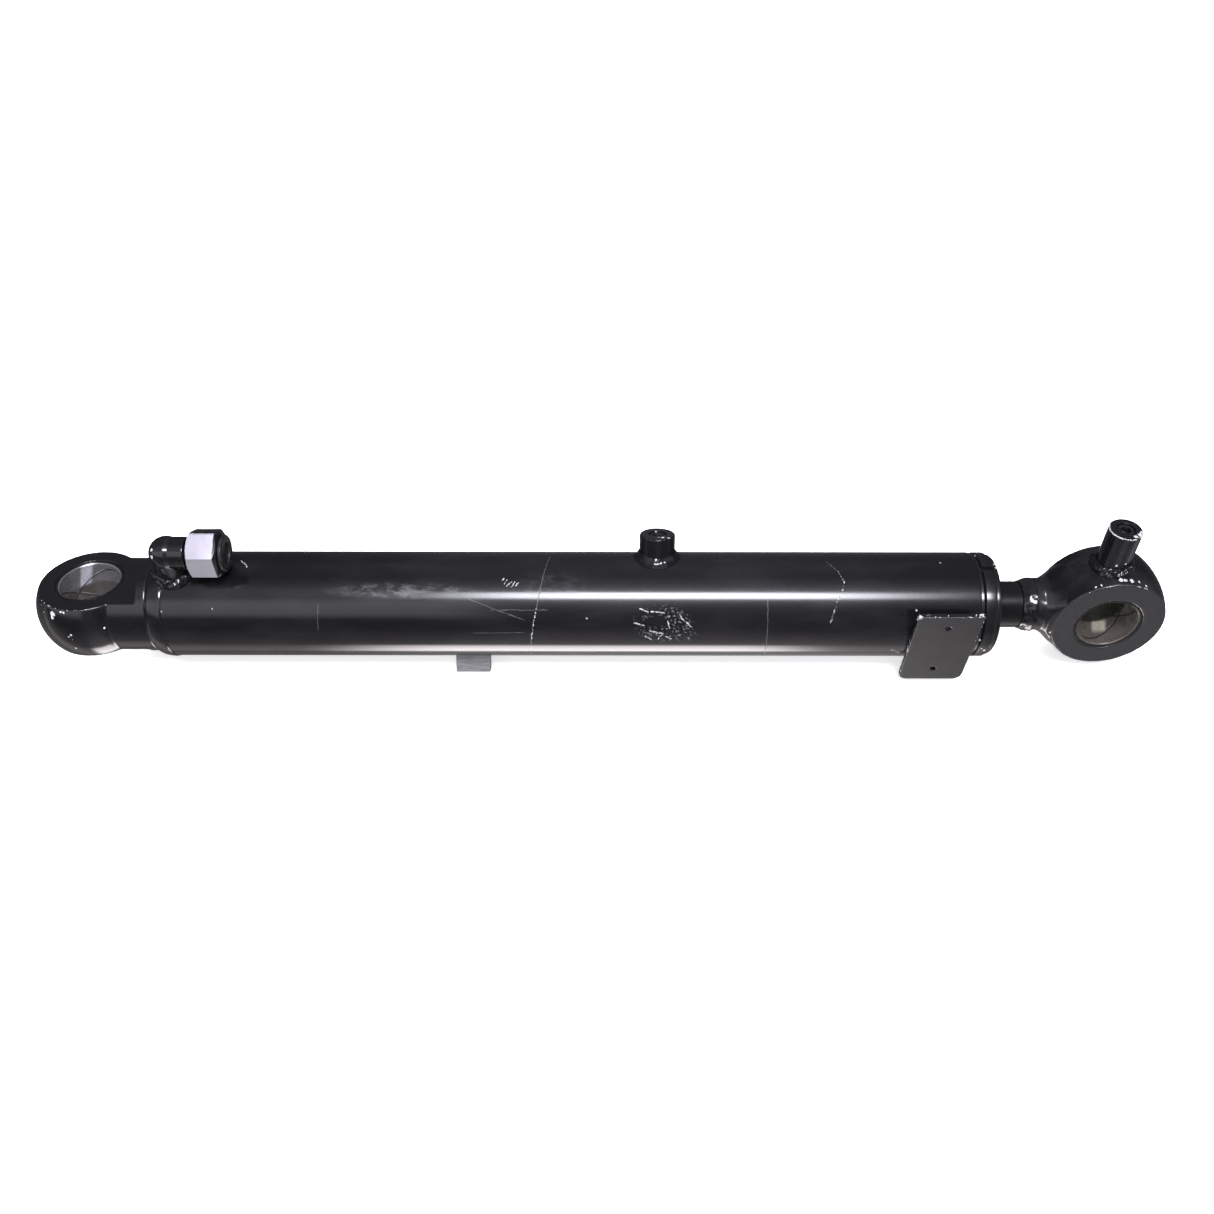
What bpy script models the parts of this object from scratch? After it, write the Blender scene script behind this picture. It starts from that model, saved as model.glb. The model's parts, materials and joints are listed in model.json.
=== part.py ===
"""Telescopic hydraulic cylinder: a barrel, one sleeve stage and an inner rod, closed.

Lengths are in millimetres and become metres as each mesh is made. The origin is the centre of the
base pin's bore, +X runs along the cylinder towards the rod end, and +Z runs along the base pin.
A clock angle is in degrees round the X axis, from +Z towards +Y.
"""

import math

import bmesh
import bpy
from mathutils import Matrix, Vector

MM = 0.001
GAP = 0.3  # between pieces that touch on the real object

# Pins and eyes
PIN_R = 25.0
BUSH_R = 28.0
PIN_SPACING = 868.0
EYE_HALF = 25.0
BASE_FACE_R = 41.0
BASE_CROWN_R = 48.0
NECK_R = 41.0
FLAT_END = 48.5
ROD_FACE_R = 46.6
ROD_CROWN_R = 50.6
ROD_EYE_CLOCK = -96.0

# Barrel, sleeve and rod
BARREL_R = 45.0
BARREL_BORE_R = 37.5
BARREL_SEAT_R = 40.0
BARREL_START = 66.3
BARREL_END = 752.2
GLAND_START = 704.3
FLANGE_START = 755.2
FLANGE_END = 765.0
SLEEVE_R = 30.0
SLEEVE_BORE_R = 25.0
SLEEVE_SEAT_R = 27.0
SLEEVE_START = 96.0
SLEEVE_END = 764.5
HEAD_START = 716.3
HEAD_FLANGE_R = 43.0
HEAD_END = 769.7
ROD_R = 20.0
ROD_END = 800.5
OIL_BORE_R = 5.0
STROKE = 520.0  # of each stage

# Piston stack at the base end
SLEEVE_PISTON = (88.0, 134.0)
ROD_PISTON = (106.0, 138.0)
SPIGOT_R = 12.0
SPIGOT_START = 90.5
PISTON_NUT = (92.5, 105.7)

# Base port: a welded elbow with a swivel nut
PORT_X = 80.0
PORT_CLOCK = -13.0
PORT_AXIS_R = 66.5
PORT_SEAT_R = 45.6  # the base weld's edge passes under the elbow
STUB_R = 14.0
KNEE_R = 14.4
PASSAGE_R = 6.0
NUT = (101.0, 126.0)
NUT_FLATS = 36.0
NUT_CORNER_CLOCK = -8.0

# Bosses, tab and plate
BOSS_X = 484.0
BOSS_CLOCK = 15.0
BOSS_R = 15.0
BOSS_TOP = 64.4
POST_X = 864.0
POST_R = 13.5
POST_TOP = 86.3
PORT_THREAD_R = 7.6
TAB_X = 324.6
TAB_CLOCK = -156.0
TAB_TOP = 61.0
PLATE_X = 721.4
PLATE_CLOCK = -103.3
PLATE_WIDTH = 54.0
PLATE_HEIGHT = 88.0
PLATE_THICK = 4.0
PLATE_SHIFT = 1.5  # of its middle from the line where it touches
PLATE_CORNER_R = 7.0
PLATE_HOLE_R = 2.6
PLATE_HOLE_SPACING = 57.0

ALONG_X = Matrix.Rotation(math.radians(90), 4, "Y")


def clear_scene():
    for obj in list(bpy.data.objects):
        bpy.data.objects.remove(obj, do_unlink=True)


def new_collection(name, hidden=False):
    collection = bpy.data.collections.new(name)
    collection.hide_render = hidden
    bpy.context.scene.collection.children.link(collection)
    return collection


clear_scene()
PARTS = new_collection("telescopic_cylinder")
TOOLS = new_collection("cutters", hidden=True)


def material(name, colour, roughness, metallic=0.0):
    made = bpy.data.materials.new(name)
    made.use_nodes = True
    shader = made.node_tree.nodes["Principled BSDF"]
    shader.inputs["Base Color"].default_value = (*colour, 1.0)
    shader.inputs["Roughness"].default_value = roughness
    shader.inputs["Metallic"].default_value = metallic
    return made


PAINT = material("black_paint", (0.015, 0.015, 0.017), 0.22)
CHROME = material("chrome", (0.75, 0.76, 0.78), 0.08, 1.0)
STEEL = material("turned_steel", (0.45, 0.45, 0.46), 0.3, 1.0)
ZINC = material("zinc_plate", (0.72, 0.71, 0.75), 0.35, 1.0)
BUSHING = material("bush_steel", (0.62, 0.6, 0.55), 0.25, 1.0)
BRONZE_RING = material("guide_resin", (0.35, 0.22, 0.1), 0.6)
RUBBER = material("seal_rubber", (0.02, 0.02, 0.02), 0.5)
POLYURETHANE = material("seal_polyurethane", (0.05, 0.16, 0.3), 0.4)
PLASTIC = material("plug_plastic", (0.02, 0.02, 0.022), 0.35)


def place(x=0.0, clock=0.0, out=0.0):
    """A frame at x whose local Z points away from the cylinder's axis, with its origin that far out."""
    turn = Matrix.Rotation(math.radians(-clock), 4, "X")
    return Matrix.Translation((x * MM, 0, 0)) @ turn @ Matrix.Translation((0, 0, out * MM))


def link(name, mesh, frame, finish=None):
    """Adds a piece, or a cutter if it has no finish."""
    obj = bpy.data.objects.new(name, mesh)
    obj.matrix_world = frame
    if finish is None:
        TOOLS.objects.link(obj)
        obj.hide_render = True
        obj.display_type = "WIRE"
        return obj
    mesh.materials.append(finish)
    PARTS.objects.link(obj)
    return obj


def smooth(mesh):
    mesh.shade_smooth()
    mesh.set_sharp_from_angle(angle=math.radians(35))


def clockwise(profile):
    """The profile in the order that makes a Screw's faces point outwards."""
    following = profile[1:] + profile[:1]
    doubled = sum(a[0] * b[1] - b[0] * a[1] for a, b in zip(profile, following))
    return profile if doubled < 0 else profile[::-1]


def turned(name, profile, frame, finish=None, steps=32):
    """Turns a profile of (radius, height) about the frame's local Z."""
    profile = clockwise(profile)
    mesh = bpy.data.meshes.new(name)
    points = [(radius * MM, 0, height * MM) for radius, height in profile]
    edges = [(i, i + 1) for i in range(len(points) - 1)]
    if profile[0][0] > 0 or profile[-1][0] > 0:
        edges.append((len(points) - 1, 0))
    mesh.from_pydata(points, edges, [])
    obj = link(name, mesh, frame, finish)
    screw = obj.modifiers.new("turn", "SCREW")
    screw.axis = "Z"
    screw.steps = steps
    screw.render_steps = steps
    screw.use_merge_vertices = True
    screw.merge_threshold = 0.00001
    return obj


def turned_x(name, outline, finish=None, steps=32, frame=Matrix()):
    """Turns an outline of (x, radius) about the frame's local X."""
    return turned(name, [(radius, x) for x, radius in outline], frame @ ALONG_X, finish, steps)


def corners(flats_r, steps):
    """The radius of the corners of a turned bore whose flats lie at flats_r."""
    return flats_r / math.cos(math.pi / steps)


def ring_x(name, span, radii, finish, steps=24):
    (start, end), (inner, outer) = span, radii
    inner = corners(inner, steps)
    outline = [(start, inner), (start, outer), (end, outer), (end, inner)]
    return turned_x(name, outline, finish, steps)


def crown_radius(face_r, crown_r, height):
    """An eye's rim radius: crown_r half-way between its faces, and face_r at each face."""
    swell = (crown_r**2 - face_r**2) / EYE_HALF**2
    return math.sqrt(crown_r**2 - swell * height**2)


def crowned_eye(name, face_r, crown_r, reach, frame, steps=48, rows=8):
    """The round body of an eye, out to reach either way along the frame's local Z."""
    heights = [reach * (2 * row / rows - 1) for row in range(rows + 1)]
    profile = [(crown_radius(face_r, crown_r, height), height) for height in heights]
    return turned(name, [(0, -reach)] + profile + [(0, reach)], frame, None, steps)


def rod_tool(name, radius, length, frame, sides=24):
    """A cylinder or prism centred on the frame, along its local Z."""
    mesh = bpy.data.meshes.new(name)
    shape = bmesh.new()
    bmesh.ops.create_cone(
        shape,
        cap_ends=True,
        segments=sides,
        radius1=radius * MM,
        radius2=radius * MM,
        depth=length * MM,
    )
    shape.to_mesh(mesh)
    shape.free()
    return link(name, mesh, frame)


def box_tool(name, size, frame):
    mesh = bpy.data.meshes.new(name)
    shape = bmesh.new()
    bmesh.ops.create_cube(shape, size=1.0)
    bmesh.ops.scale(shape, vec=Vector(size) * MM, verts=shape.verts)
    shape.to_mesh(mesh)
    shape.free()
    return link(name, mesh, frame)


def boolean(obj, tool, operation):
    step = obj.modifiers.new(tool.name, "BOOLEAN")
    step.operation = operation
    step.solver = "EXACT"
    step.object = tool


def cut(obj, tool):
    boolean(obj, tool, "DIFFERENCE")


def join(obj, tool):
    boolean(obj, tool, "UNION")


def on_tube(radius):
    """The height of a tube's wall over its own axis, which lies along X."""
    return lambda x, y: math.sqrt((radius + GAP) ** 2 - y**2)


def on_rod_eye(x, y):
    """The height of the rod eye's rim over its middle, in the frame of the post that stands on it."""
    rim = crown_radius(ROD_FACE_R, ROD_CROWN_R, y) + GAP
    return math.sqrt(rim**2 - (x - (PIN_SPACING - POST_X)) ** 2)


def saddle_weld(name, stub_r, wall, leg, frame, turns=32):
    """A fillet round a stub that stands on a wall, whose height is wall(x, y)."""

    def section(angle):
        """Root, toe, crown and top of the bead at one angle round the stub."""
        along, across = math.cos(angle), math.sin(angle)
        root = stub_r + GAP
        toe = root + leg
        crown = root + 0.42 * leg
        lifts = ((root, 0), (toe, 0), (crown, 0.5 * leg), (root, leg))
        points = [(r * along, r * across, lift) for r, lift in lifts]
        return [(x * MM, y * MM, (wall(x, y) + lift) * MM) for x, y, lift in points]

    shape = bmesh.new()
    rows = [
        [shape.verts.new(point) for point in section(math.tau * turn / turns)]
        for turn in range(turns)
    ]
    for row, after in zip(rows, rows[1:] + rows[:1]):
        for k in range(4):
            shape.faces.new((row[k], row[(k + 1) % 4], after[(k + 1) % 4], after[k]))
    bmesh.ops.recalc_face_normals(shape, faces=shape.faces)
    mesh = bpy.data.meshes.new(name)
    shape.to_mesh(mesh)
    shape.free()
    return link(name, mesh, frame, PAINT)


def port_plug(name, bottom, top, frame):
    """A screw plug with a hexagon socket, sunk in a threaded port."""
    radius = PORT_THREAD_R - GAP
    edge = 0.6
    profile = [(0, bottom), (radius, bottom), (radius, top - edge), (radius - edge, top), (0, top)]
    plug = turned(name, profile, frame, STEEL, 24)
    socket_r = 4.6
    socket_depth = 5.0
    cut(plug, rod_tool(name + "_socket", socket_r, 2 * socket_depth,
                       frame @ Matrix.Translation((0, 0, top * MM)), 6))


def eye_bush(name, half, frame):
    chamfer = 1.2
    profile = [
        (PIN_R, -half + chamfer),
        (PIN_R + chamfer, -half),
        (BUSH_R, -half),
        (BUSH_R, half),
        (PIN_R + chamfer, half),
        (PIN_R, half - chamfer),
    ]
    turned(name, profile, frame, BUSHING, 32)


def base_eye():
    """The forged base: a round neck flattened on two sides into an eye, with a spigot in the barrel."""
    neck = [(0, 0), (0, NECK_R), (56.5, NECK_R), (60.5, 37.2), (72, 37.2), (72, 0)]
    eye = turned_x("base_eye", neck, PAINT, 48)
    join(eye, crowned_eye("base_crown", BASE_FACE_R, BASE_CROWN_R, EYE_HALF + 3, Matrix()))
    for side in (1, -1):
        depth = 40.0
        middle = Vector(((FLAT_END - 100) * MM, 0, side * (EYE_HALF + depth / 2) * MM))
        cut(eye, box_tool(f"base_flat_{side}", (200, 120, depth), Matrix.Translation(middle)))
    cut(eye, rod_tool("base_bore", BUSH_R + GAP, 80, Matrix(), 40))
    eye_bush("base_eye_bush", EYE_HALF - 0.5, Matrix())
    bead = [
        (56.8, 41.3), (59.5, 43.3), (66.5, 45.5), (71.6, 45.4),
        (71.0, 45.25), (66.0, 40.25), (66.0, 37.5), (60.8, 37.5),
    ]
    turned_x("base_weld", bead, PAINT, 32)


def barrel():
    outline = [
        (BARREL_START, BARREL_BORE_R),
        (BARREL_START, 40.0),
        (71.3, BARREL_R),
        (BARREL_END - 1.2, BARREL_R),
        (BARREL_END, BARREL_R - 1.2),
        (BARREL_END, BARREL_SEAT_R),
        (GLAND_START - GAP, BARREL_SEAT_R),
        (GLAND_START - 2.5, BARREL_BORE_R),
    ]
    tube = turned_x("barrel_tube", outline, PAINT, 48)
    cut(tube, rod_tool("barrel_port", PASSAGE_R, 30, place(PORT_X, PORT_CLOCK, BARREL_R)))


def gland():
    """Screwed into the barrel's open end: it guides, seals and wipes the sleeve."""
    bore = SLEEVE_R + 0.4
    mouth = SLEEVE_R + 1.8
    guide, seal, wiper = (711.0, 727.0), (735.0, 743.0), (757.0, 763.0)
    o_ring = (746.0, 750.0)
    outer = BARREL_SEAT_R - GAP
    outline = [
        (GLAND_START, bore), (GLAND_START, outer),
        (o_ring[0], outer), (o_ring[0], 37.2), (o_ring[1], 37.2), (o_ring[1], outer),
        (BARREL_END + GAP, outer), (BARREL_END + GAP, 42.6), (FLANGE_START - 0.4, 42.6),
        (FLANGE_START + 0.9, BARREL_R), (FLANGE_END - 0.9, BARREL_R), (FLANGE_END, BARREL_R - 0.9),
        (FLANGE_END, mouth),
        (wiper[1], mouth), (wiper[1], 34.0), (wiper[0], 34.0), (wiper[0], bore),
        (seal[1], bore), (seal[1], 35.0), (seal[0], 35.0), (seal[0], bore),
        (guide[1], bore), (guide[1], 32.8), (guide[0], 32.8), (guide[0], bore),
    ]
    body = turned_x("barrel_gland", outline, PAINT, 24)
    notch = 4.5
    frame = place((FLANGE_START + FLANGE_END) / 2, -10.0, BARREL_R)
    for turn in (0, 180):
        side = Matrix.Rotation(math.radians(turn), 4, "X") @ frame
        cut(body, box_tool(f"spanner_notch_{turn}", (20, notch, 5), side))
    inner = SLEEVE_R + 0.15
    ring_x("gland_guide_ring", (guide[0] + GAP, guide[1] - GAP), (inner, 32.4), BRONZE_RING)
    ring_x("gland_seal", (seal[0] + GAP, seal[1] - GAP), (inner, 34.6), POLYURETHANE)
    ring_x("gland_o_ring", (o_ring[0] + GAP, o_ring[1] - GAP), (37.6, 39.6), RUBBER)
    lip_r = corners(inner, 24)
    lip = [(wiper[0] + GAP, lip_r + 1.2), (wiper[0] + GAP, 33.6), (wiper[1] - GAP, 33.6),
           (wiper[1] - GAP, lip_r + 1.2), (wiper[1] + 1.2, lip_r)]
    turned_x("gland_wiper", lip, POLYURETHANE, 24)


def base_port():
    """The extend port: an elbow welded over the barrel's hole, ending in a swivel nut with a plug."""
    stub = place(PORT_X, PORT_CLOCK)
    axis = place(0, PORT_CLOCK, PORT_AXIS_R)
    arm = [
        (PORT_X, 0), (PORT_X, STUB_R - 0.4), (NUT[0] - 3.5, STUB_R - 0.4), (NUT[0] - 3.5, 10.0),
        (112.0, 10.0), (112.0, 12.6), (116.0, 12.6), (117.5, 11.2), (117.5, 0),
    ]
    elbow = turned_x("port_elbow", arm, PAINT, 24, axis)
    join(elbow, rod_tool("elbow_stub", STUB_R, 32, place(PORT_X, PORT_CLOCK, PORT_AXIS_R - 16)))
    knee = bpy.data.meshes.new("elbow_knee")
    ball = bmesh.new()
    bmesh.ops.create_uvsphere(ball, u_segments=20, v_segments=10, radius=KNEE_R * MM)
    ball.to_mesh(knee)
    ball.free()
    join(elbow, link("elbow_knee", knee, place(PORT_X, PORT_CLOCK, PORT_AXIS_R)))
    cut(elbow, rod_tool("elbow_saddle", PORT_SEAT_R + GAP, 120, place(PORT_X) @ ALONG_X, 96))
    cut(elbow, rod_tool("elbow_down", PASSAGE_R, 40, place(PORT_X, PORT_CLOCK, PORT_AXIS_R - 20)))
    outlet = place(PORT_X + 30, PORT_CLOCK, PORT_AXIS_R) @ ALONG_X
    cut(elbow, rod_tool("elbow_along", PASSAGE_R - 0.2, 60, outlet))
    saddle_weld("elbow_weld", STUB_R, on_tube(PORT_SEAT_R), 4.6, stub)

    start, end = NUT
    chamfered = [
        (start, 0), (start, 17.4), (start + 2.0, 21.2), (end - 3.0, 21.2), (end, 17.0), (end, 0),
    ]
    nut = turned_x("union_nut", chamfered, ZINC, 36, axis)
    across_corners = NUT_FLATS / math.cos(math.pi / 6)
    turn = NUT_CORNER_CLOCK - PORT_CLOCK + 30
    around = axis @ place((start + end) / 2, turn) @ ALONG_X
    boolean(nut, rod_tool("nut_flats", across_corners / 2, 40, around, 6), "INTERSECT")
    bore = [
        (start - 2, 0), (start - 2, 10.4), (108.0, 10.4), (108.0, 13.3), (end + 2, 13.3), (end + 2, 0),
    ]
    cut(nut, turned_x("nut_bore", bore, None, 24, axis))
    cap = [
        (118.5, 0), (118.5, 12.9), (end + GAP, 12.9), (end + GAP, 15.2),
        (end + 2.6, 15.2), (end + 3.4, 14.4), (end + 3.4, 9.0), (end + 1.5, 8.4), (end + 1.5, 0),
    ]
    turned_x("port_plug", cap, PLASTIC, 24, axis)


def middle_boss():
    frame = place(BOSS_X, BOSS_CLOCK)
    edge = 0.8
    profile = [
        (0, 40), (BOSS_R, 40), (BOSS_R, BOSS_TOP - edge), (BOSS_R - edge, BOSS_TOP),
        (PORT_THREAD_R, BOSS_TOP), (PORT_THREAD_R, 51.5), (0, 51.5),
    ]
    boss = turned("barrel_boss", profile, frame, PAINT, 32)
    cut(boss, rod_tool("boss_saddle", BARREL_R + GAP, 100, place(BOSS_X) @ ALONG_X, 96))
    saddle_weld("boss_weld", BOSS_R, on_tube(BARREL_R), 5.0, frame)
    port_plug("boss_plug", 52.0, BOSS_TOP - 1.0, frame)


def clamp_tab():
    width, thick, sunk = 30.0, 8.0, 42.0
    mesh = bpy.data.meshes.new("clamp_tab")
    shape = bmesh.new()
    bmesh.ops.create_cube(shape, size=1.0)
    bmesh.ops.scale(shape, vec=Vector((width, thick, TAB_TOP - sunk)) * MM, verts=shape.verts)
    shape.to_mesh(mesh)
    shape.free()
    tab = link("clamp_tab", mesh, place(TAB_X, TAB_CLOCK, (TAB_TOP + sunk) / 2), PAINT)
    rounding = tab.modifiers.new("edges", "BEVEL")
    rounding.width = 0.8 * MM
    rounding.segments = 1
    cut(tab, rod_tool("tab_saddle", BARREL_R + GAP, 60, place(TAB_X) @ ALONG_X, 96))


def rounded_outline(half_x, half_y, corner_r, steps=5):
    """A rectangle with its two corners at +Y rounded."""
    points = [(-half_x, -half_y), (half_x, -half_y)]
    for middle_x, start in ((half_x - corner_r, 0), (corner_r - half_x, 90)):
        for step in range(steps + 1):
            angle = math.radians(start + 90 * step / steps)
            points.append((middle_x + corner_r * math.cos(angle),
                           half_y - corner_r + corner_r * math.sin(angle)))
    return points


def hole_outline(middle_y, radius, sides=12):
    turns = (math.tau * side / sides for side in range(sides))
    return [(radius * math.cos(turn), middle_y + radius * math.sin(turn)) for turn in turns]


def bracket_plate():
    """A flat plate welded on along the line where it touches the barrel."""
    curve = bpy.data.curves.new("bracket_plate", "CURVE")
    curve.dimensions = "2D"
    curve.fill_mode = "BOTH"
    curve.extrude = PLATE_THICK / 2 * MM
    outlines = [rounded_outline(PLATE_WIDTH / 2, PLATE_HEIGHT / 2, PLATE_CORNER_R)]
    for side in (1, -1):
        outlines.append(hole_outline(side * PLATE_HOLE_SPACING / 2, PLATE_HOLE_R))
    for outline in outlines:
        spline = curve.splines.new("POLY")
        spline.points.add(len(outline) - 1)
        for point, (x, y) in zip(spline.points, outline):
            point.co = (x * MM, y * MM, 0, 1)
        spline.use_cyclic_u = True
    curve.materials.append(PAINT)
    plate = bpy.data.objects.new("bracket_plate", curve)
    turn_over = Matrix.Rotation(math.pi, 4, "Z")
    shift = Matrix.Translation((0, PLATE_SHIFT * MM, 0))
    touching = place(PLATE_X, PLATE_CLOCK, BARREL_R + GAP + PLATE_THICK / 2)
    plate.matrix_world = touching @ shift @ turn_over
    PARTS.objects.link(plate)


def sleeve():
    outline = [
        (SLEEVE_START, SLEEVE_BORE_R), (SLEEVE_START, SLEEVE_R), (SLEEVE_END, SLEEVE_R),
        (SLEEVE_END, SLEEVE_SEAT_R), (HEAD_START - GAP, SLEEVE_SEAT_R), (HEAD_START - 2, SLEEVE_BORE_R),
    ]
    tube = turned_x("sleeve_tube", outline, CHROME, 48)
    cut(tube, rod_tool("sleeve_oil_hole", 2.5, 80, place(190.0), 12))

    start, end = SLEEVE_PISTON
    outer = BARREL_BORE_R - GAP
    front, seal, back = (91.0, 97.0), (103.0, 113.0), (119.0, 127.0)
    outline = [(start, 22.0), (start, outer)]
    for (low, high), floor in ((front, 35.0), (seal, 33.2), (back, 35.0)):
        outline += [(low, outer), (low, floor), (high, floor), (high, outer)]
    inner = SLEEVE_R + GAP
    outline += [(end, outer), (end, inner), (SLEEVE_START - GAP, inner), (SLEEVE_START - GAP, 22.0)]
    turned_x("sleeve_piston", outline, STEEL, 24)
    rubbing = BARREL_BORE_R - 0.2
    ring_x("sleeve_guide_ring_1", (front[0] + GAP, front[1] - GAP), (35.4, rubbing), BRONZE_RING)
    ring_x("sleeve_piston_seal", (seal[0] + GAP, seal[1] - GAP), (33.6, rubbing), POLYURETHANE)
    ring_x("sleeve_guide_ring_2", (back[0] + GAP, back[1] - GAP), (35.4, rubbing), BRONZE_RING)
    stop_end = GLAND_START - STROKE - GAP
    ring_x("sleeve_stop_tube", (end + GAP, stop_end), (inner, 36.0), STEEL, 32)


def sleeve_head():
    """Screwed into the sleeve's open end: it guides, seals and wipes the rod."""
    bore = ROD_R + 0.4
    mouth = ROD_R + 1.8
    outer = SLEEVE_SEAT_R - GAP
    guide, seal, wiper, o_ring = (721.0, 735.0), (745.0, 752.0), (761.0, 767.0), (738.0, 741.5)
    outline = [
        (HEAD_START, bore), (HEAD_START, outer),
        (o_ring[0], outer), (o_ring[0], 24.6), (o_ring[1], 24.6), (o_ring[1], outer),
        (FLANGE_END + 0.4, outer), (FLANGE_END + 0.4, HEAD_FLANGE_R),
        (HEAD_END - 1.2, HEAD_FLANGE_R), (HEAD_END, HEAD_FLANGE_R - 1.2), (HEAD_END, mouth),
        (wiper[1], mouth), (wiper[1], 24.0), (wiper[0], 24.0), (wiper[0], bore),
        (seal[1], bore), (seal[1], 24.2), (seal[0], 24.2), (seal[0], bore),
        (guide[1], bore), (guide[1], 22.4), (guide[0], 22.4), (guide[0], bore),
    ]
    turned_x("sleeve_head", outline, PAINT, 24)
    inner = ROD_R + 0.15
    ring_x("head_guide_ring", (guide[0] + GAP, guide[1] - GAP), (inner, 22.0), BRONZE_RING)
    ring_x("head_rod_seal", (seal[0] + GAP, seal[1] - GAP), (inner, 23.8), POLYURETHANE)
    ring_x("head_o_ring", (o_ring[0] + GAP, o_ring[1] - GAP), (25.0, 26.6), RUBBER)
    lip_r = corners(inner, 24)
    lip = [(wiper[0] + GAP, lip_r + 1.0), (wiper[0] + GAP, 23.6), (wiper[1] - GAP, 23.6),
           (wiper[1] - GAP, lip_r + 1.0), (wiper[1] + 1.0, lip_r)]
    turned_x("head_wiper", lip, POLYURETHANE, 24)


def rod():
    start, end = ROD_PISTON
    oil_hole = 204.0
    bore_start = oil_hole - 6
    outline = [
        (SPIGOT_START, 0), (SPIGOT_START, SPIGOT_R), (end + GAP, SPIGOT_R), (end + GAP, ROD_R),
        (ROD_END - 5.4, ROD_R), (ROD_END, ROD_R - 4.6), (ROD_END, OIL_BORE_R),
        (bore_start, OIL_BORE_R), (bore_start, 0),
    ]
    bar = turned_x("rod", outline, CHROME, 48)
    cut(bar, rod_tool("rod_oil_hole", 3.0, 60, place(oil_hole), 12))

    outer = SLEEVE_BORE_R - 0.5
    seal, guide = (113.0, 121.0), (126.0, 134.0)
    outline = [(start, SPIGOT_R + GAP), (start, outer)]
    for (low, high), floor in ((seal, 20.7), (guide, 22.8)):
        outline += [(low, outer), (low, floor), (high, floor), (high, outer)]
    outline += [(end, outer), (end, SPIGOT_R + GAP)]
    turned_x("rod_piston", outline, STEEL, 24)
    rubbing = SLEEVE_BORE_R - 0.2
    ring_x("rod_piston_seal", (seal[0] + GAP, seal[1] - GAP), (21.2, rubbing), POLYURETHANE)
    ring_x("rod_guide_ring", (guide[0] + GAP, guide[1] - GAP), (23.2, rubbing), BRONZE_RING)
    stop_end = HEAD_START - STROKE - GAP
    ring_x("rod_stop_tube", (end + 2 * GAP, stop_end), (ROD_R + GAP, 24.0), STEEL, 32)
    nut_start, nut_end = PISTON_NUT
    nut_r = 20.7
    nut_frame = place((nut_start + nut_end) / 2) @ ALONG_X
    mesh = bpy.data.meshes.new("piston_nut")
    shape = bmesh.new()
    depth = (nut_end - nut_start) * MM
    radius = nut_r * MM
    bmesh.ops.create_cone(shape, cap_ends=True, segments=6, radius1=radius, radius2=radius, depth=depth)
    shape.to_mesh(mesh)
    shape.free()
    nut = link("piston_nut", mesh, nut_frame, STEEL)
    cut(nut, rod_tool("piston_nut_bore", SPIGOT_R + GAP, 40, nut_frame))


def rod_eye():
    """The rod's eye with its neck, and the retract port on a post that stands on the eye's rim."""
    middle = place(PIN_SPACING)
    facing = place(PIN_SPACING, ROD_EYE_CLOCK)
    post_clock = ROD_EYE_CLOCK + 90
    neck_start = ROD_END + GAP
    neck = [
        (neck_start, 0), (neck_start, 16.0), (807.0, 22.3), (814.0, 22.7), (819.0, 25.5),
        (825.0, 31.0), (832.0, 37.0), (838.0, 40.0), (838.0, 0),
    ]
    shifted = [(x - PIN_SPACING, radius) for x, radius in neck]
    eye = turned_x("rod_eye", shifted, PAINT, 40, middle)
    depth = 20.0
    relief = 1.5  # of the neck's flats below the eye's faces
    for side in (1, -1):
        out = side * (EYE_HALF - relief + depth / 2)
        beside = place(830, ROD_EYE_CLOCK, out)
        cut(eye, box_tool(f"neck_flat_{side}", (24, 90, depth), beside))
    join(eye, crowned_eye("rod_crown", ROD_FACE_R, ROD_CROWN_R, EYE_HALF, facing, steps=56))
    cut(eye, rod_tool("rod_bore", BUSH_R + GAP, 80, facing, 40))
    cut(eye, rod_tool("neck_bore", OIL_BORE_R, 30, place(neck_start + 12) @ ALONG_X, 16))
    slope = Vector((0.663, 0, 0.749))
    lean = slope.to_track_quat("Z", "Y").to_matrix().to_4x4()
    cut(eye, rod_tool("angled_bore", 4.0, 76, place(841, post_clock, 26) @ lean, 16))
    eye_bush("rod_eye_bush", EYE_HALF - 0.5, facing)
    bead = [
        (795.6, 20.4), (798.0, 21.2), (802.0, 22.4), (806.0, 23.0), (807.8, 22.9),
        (806.7, 22.8), (800.65, 16.3),
    ]
    turned_x("rod_weld", bead, PAINT, 32)

    frame = place(POST_X, post_clock)
    edge = 0.8
    profile = [
        (4.0, 44), (POST_R, 44), (POST_R, POST_TOP - edge), (POST_R - edge, POST_TOP),
        (PORT_THREAD_R, POST_TOP), (PORT_THREAD_R, 74), (4.0, 74),
    ]
    post = turned("rod_port_post", profile, frame, PAINT, 32)
    sizes = ROD_FACE_R + GAP, ROD_CROWN_R + GAP
    cut(post, crowned_eye("post_saddle", *sizes, EYE_HALF, facing, steps=96, rows=16))
    saddle_weld("post_weld", POST_R, on_rod_eye, 4.6, frame)
    port_plug("post_plug", 74.5, POST_TOP - 1.0, frame)


base_eye()
barrel()
gland()
base_port()
middle_boss()
clamp_tab()
bracket_plate()
sleeve()
sleeve_head()
rod()
rod_eye()
for piece in PARTS.objects:
    if piece.type == "MESH":
        smooth(piece.data)
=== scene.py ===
"""Looks of the telescopic hydraulic cylinder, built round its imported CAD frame.

Lengths are in millimetres and become metres as each mesh is made, except that the floor and the
lamps are placed in metres. +X runs along the cylinder.
A clock angle is in degrees round the X axis, from +Z towards +Y, as in the CAD.
"""

import json
import math

import bmesh
import bpy
from mathutils import Matrix, Vector, noise

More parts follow.
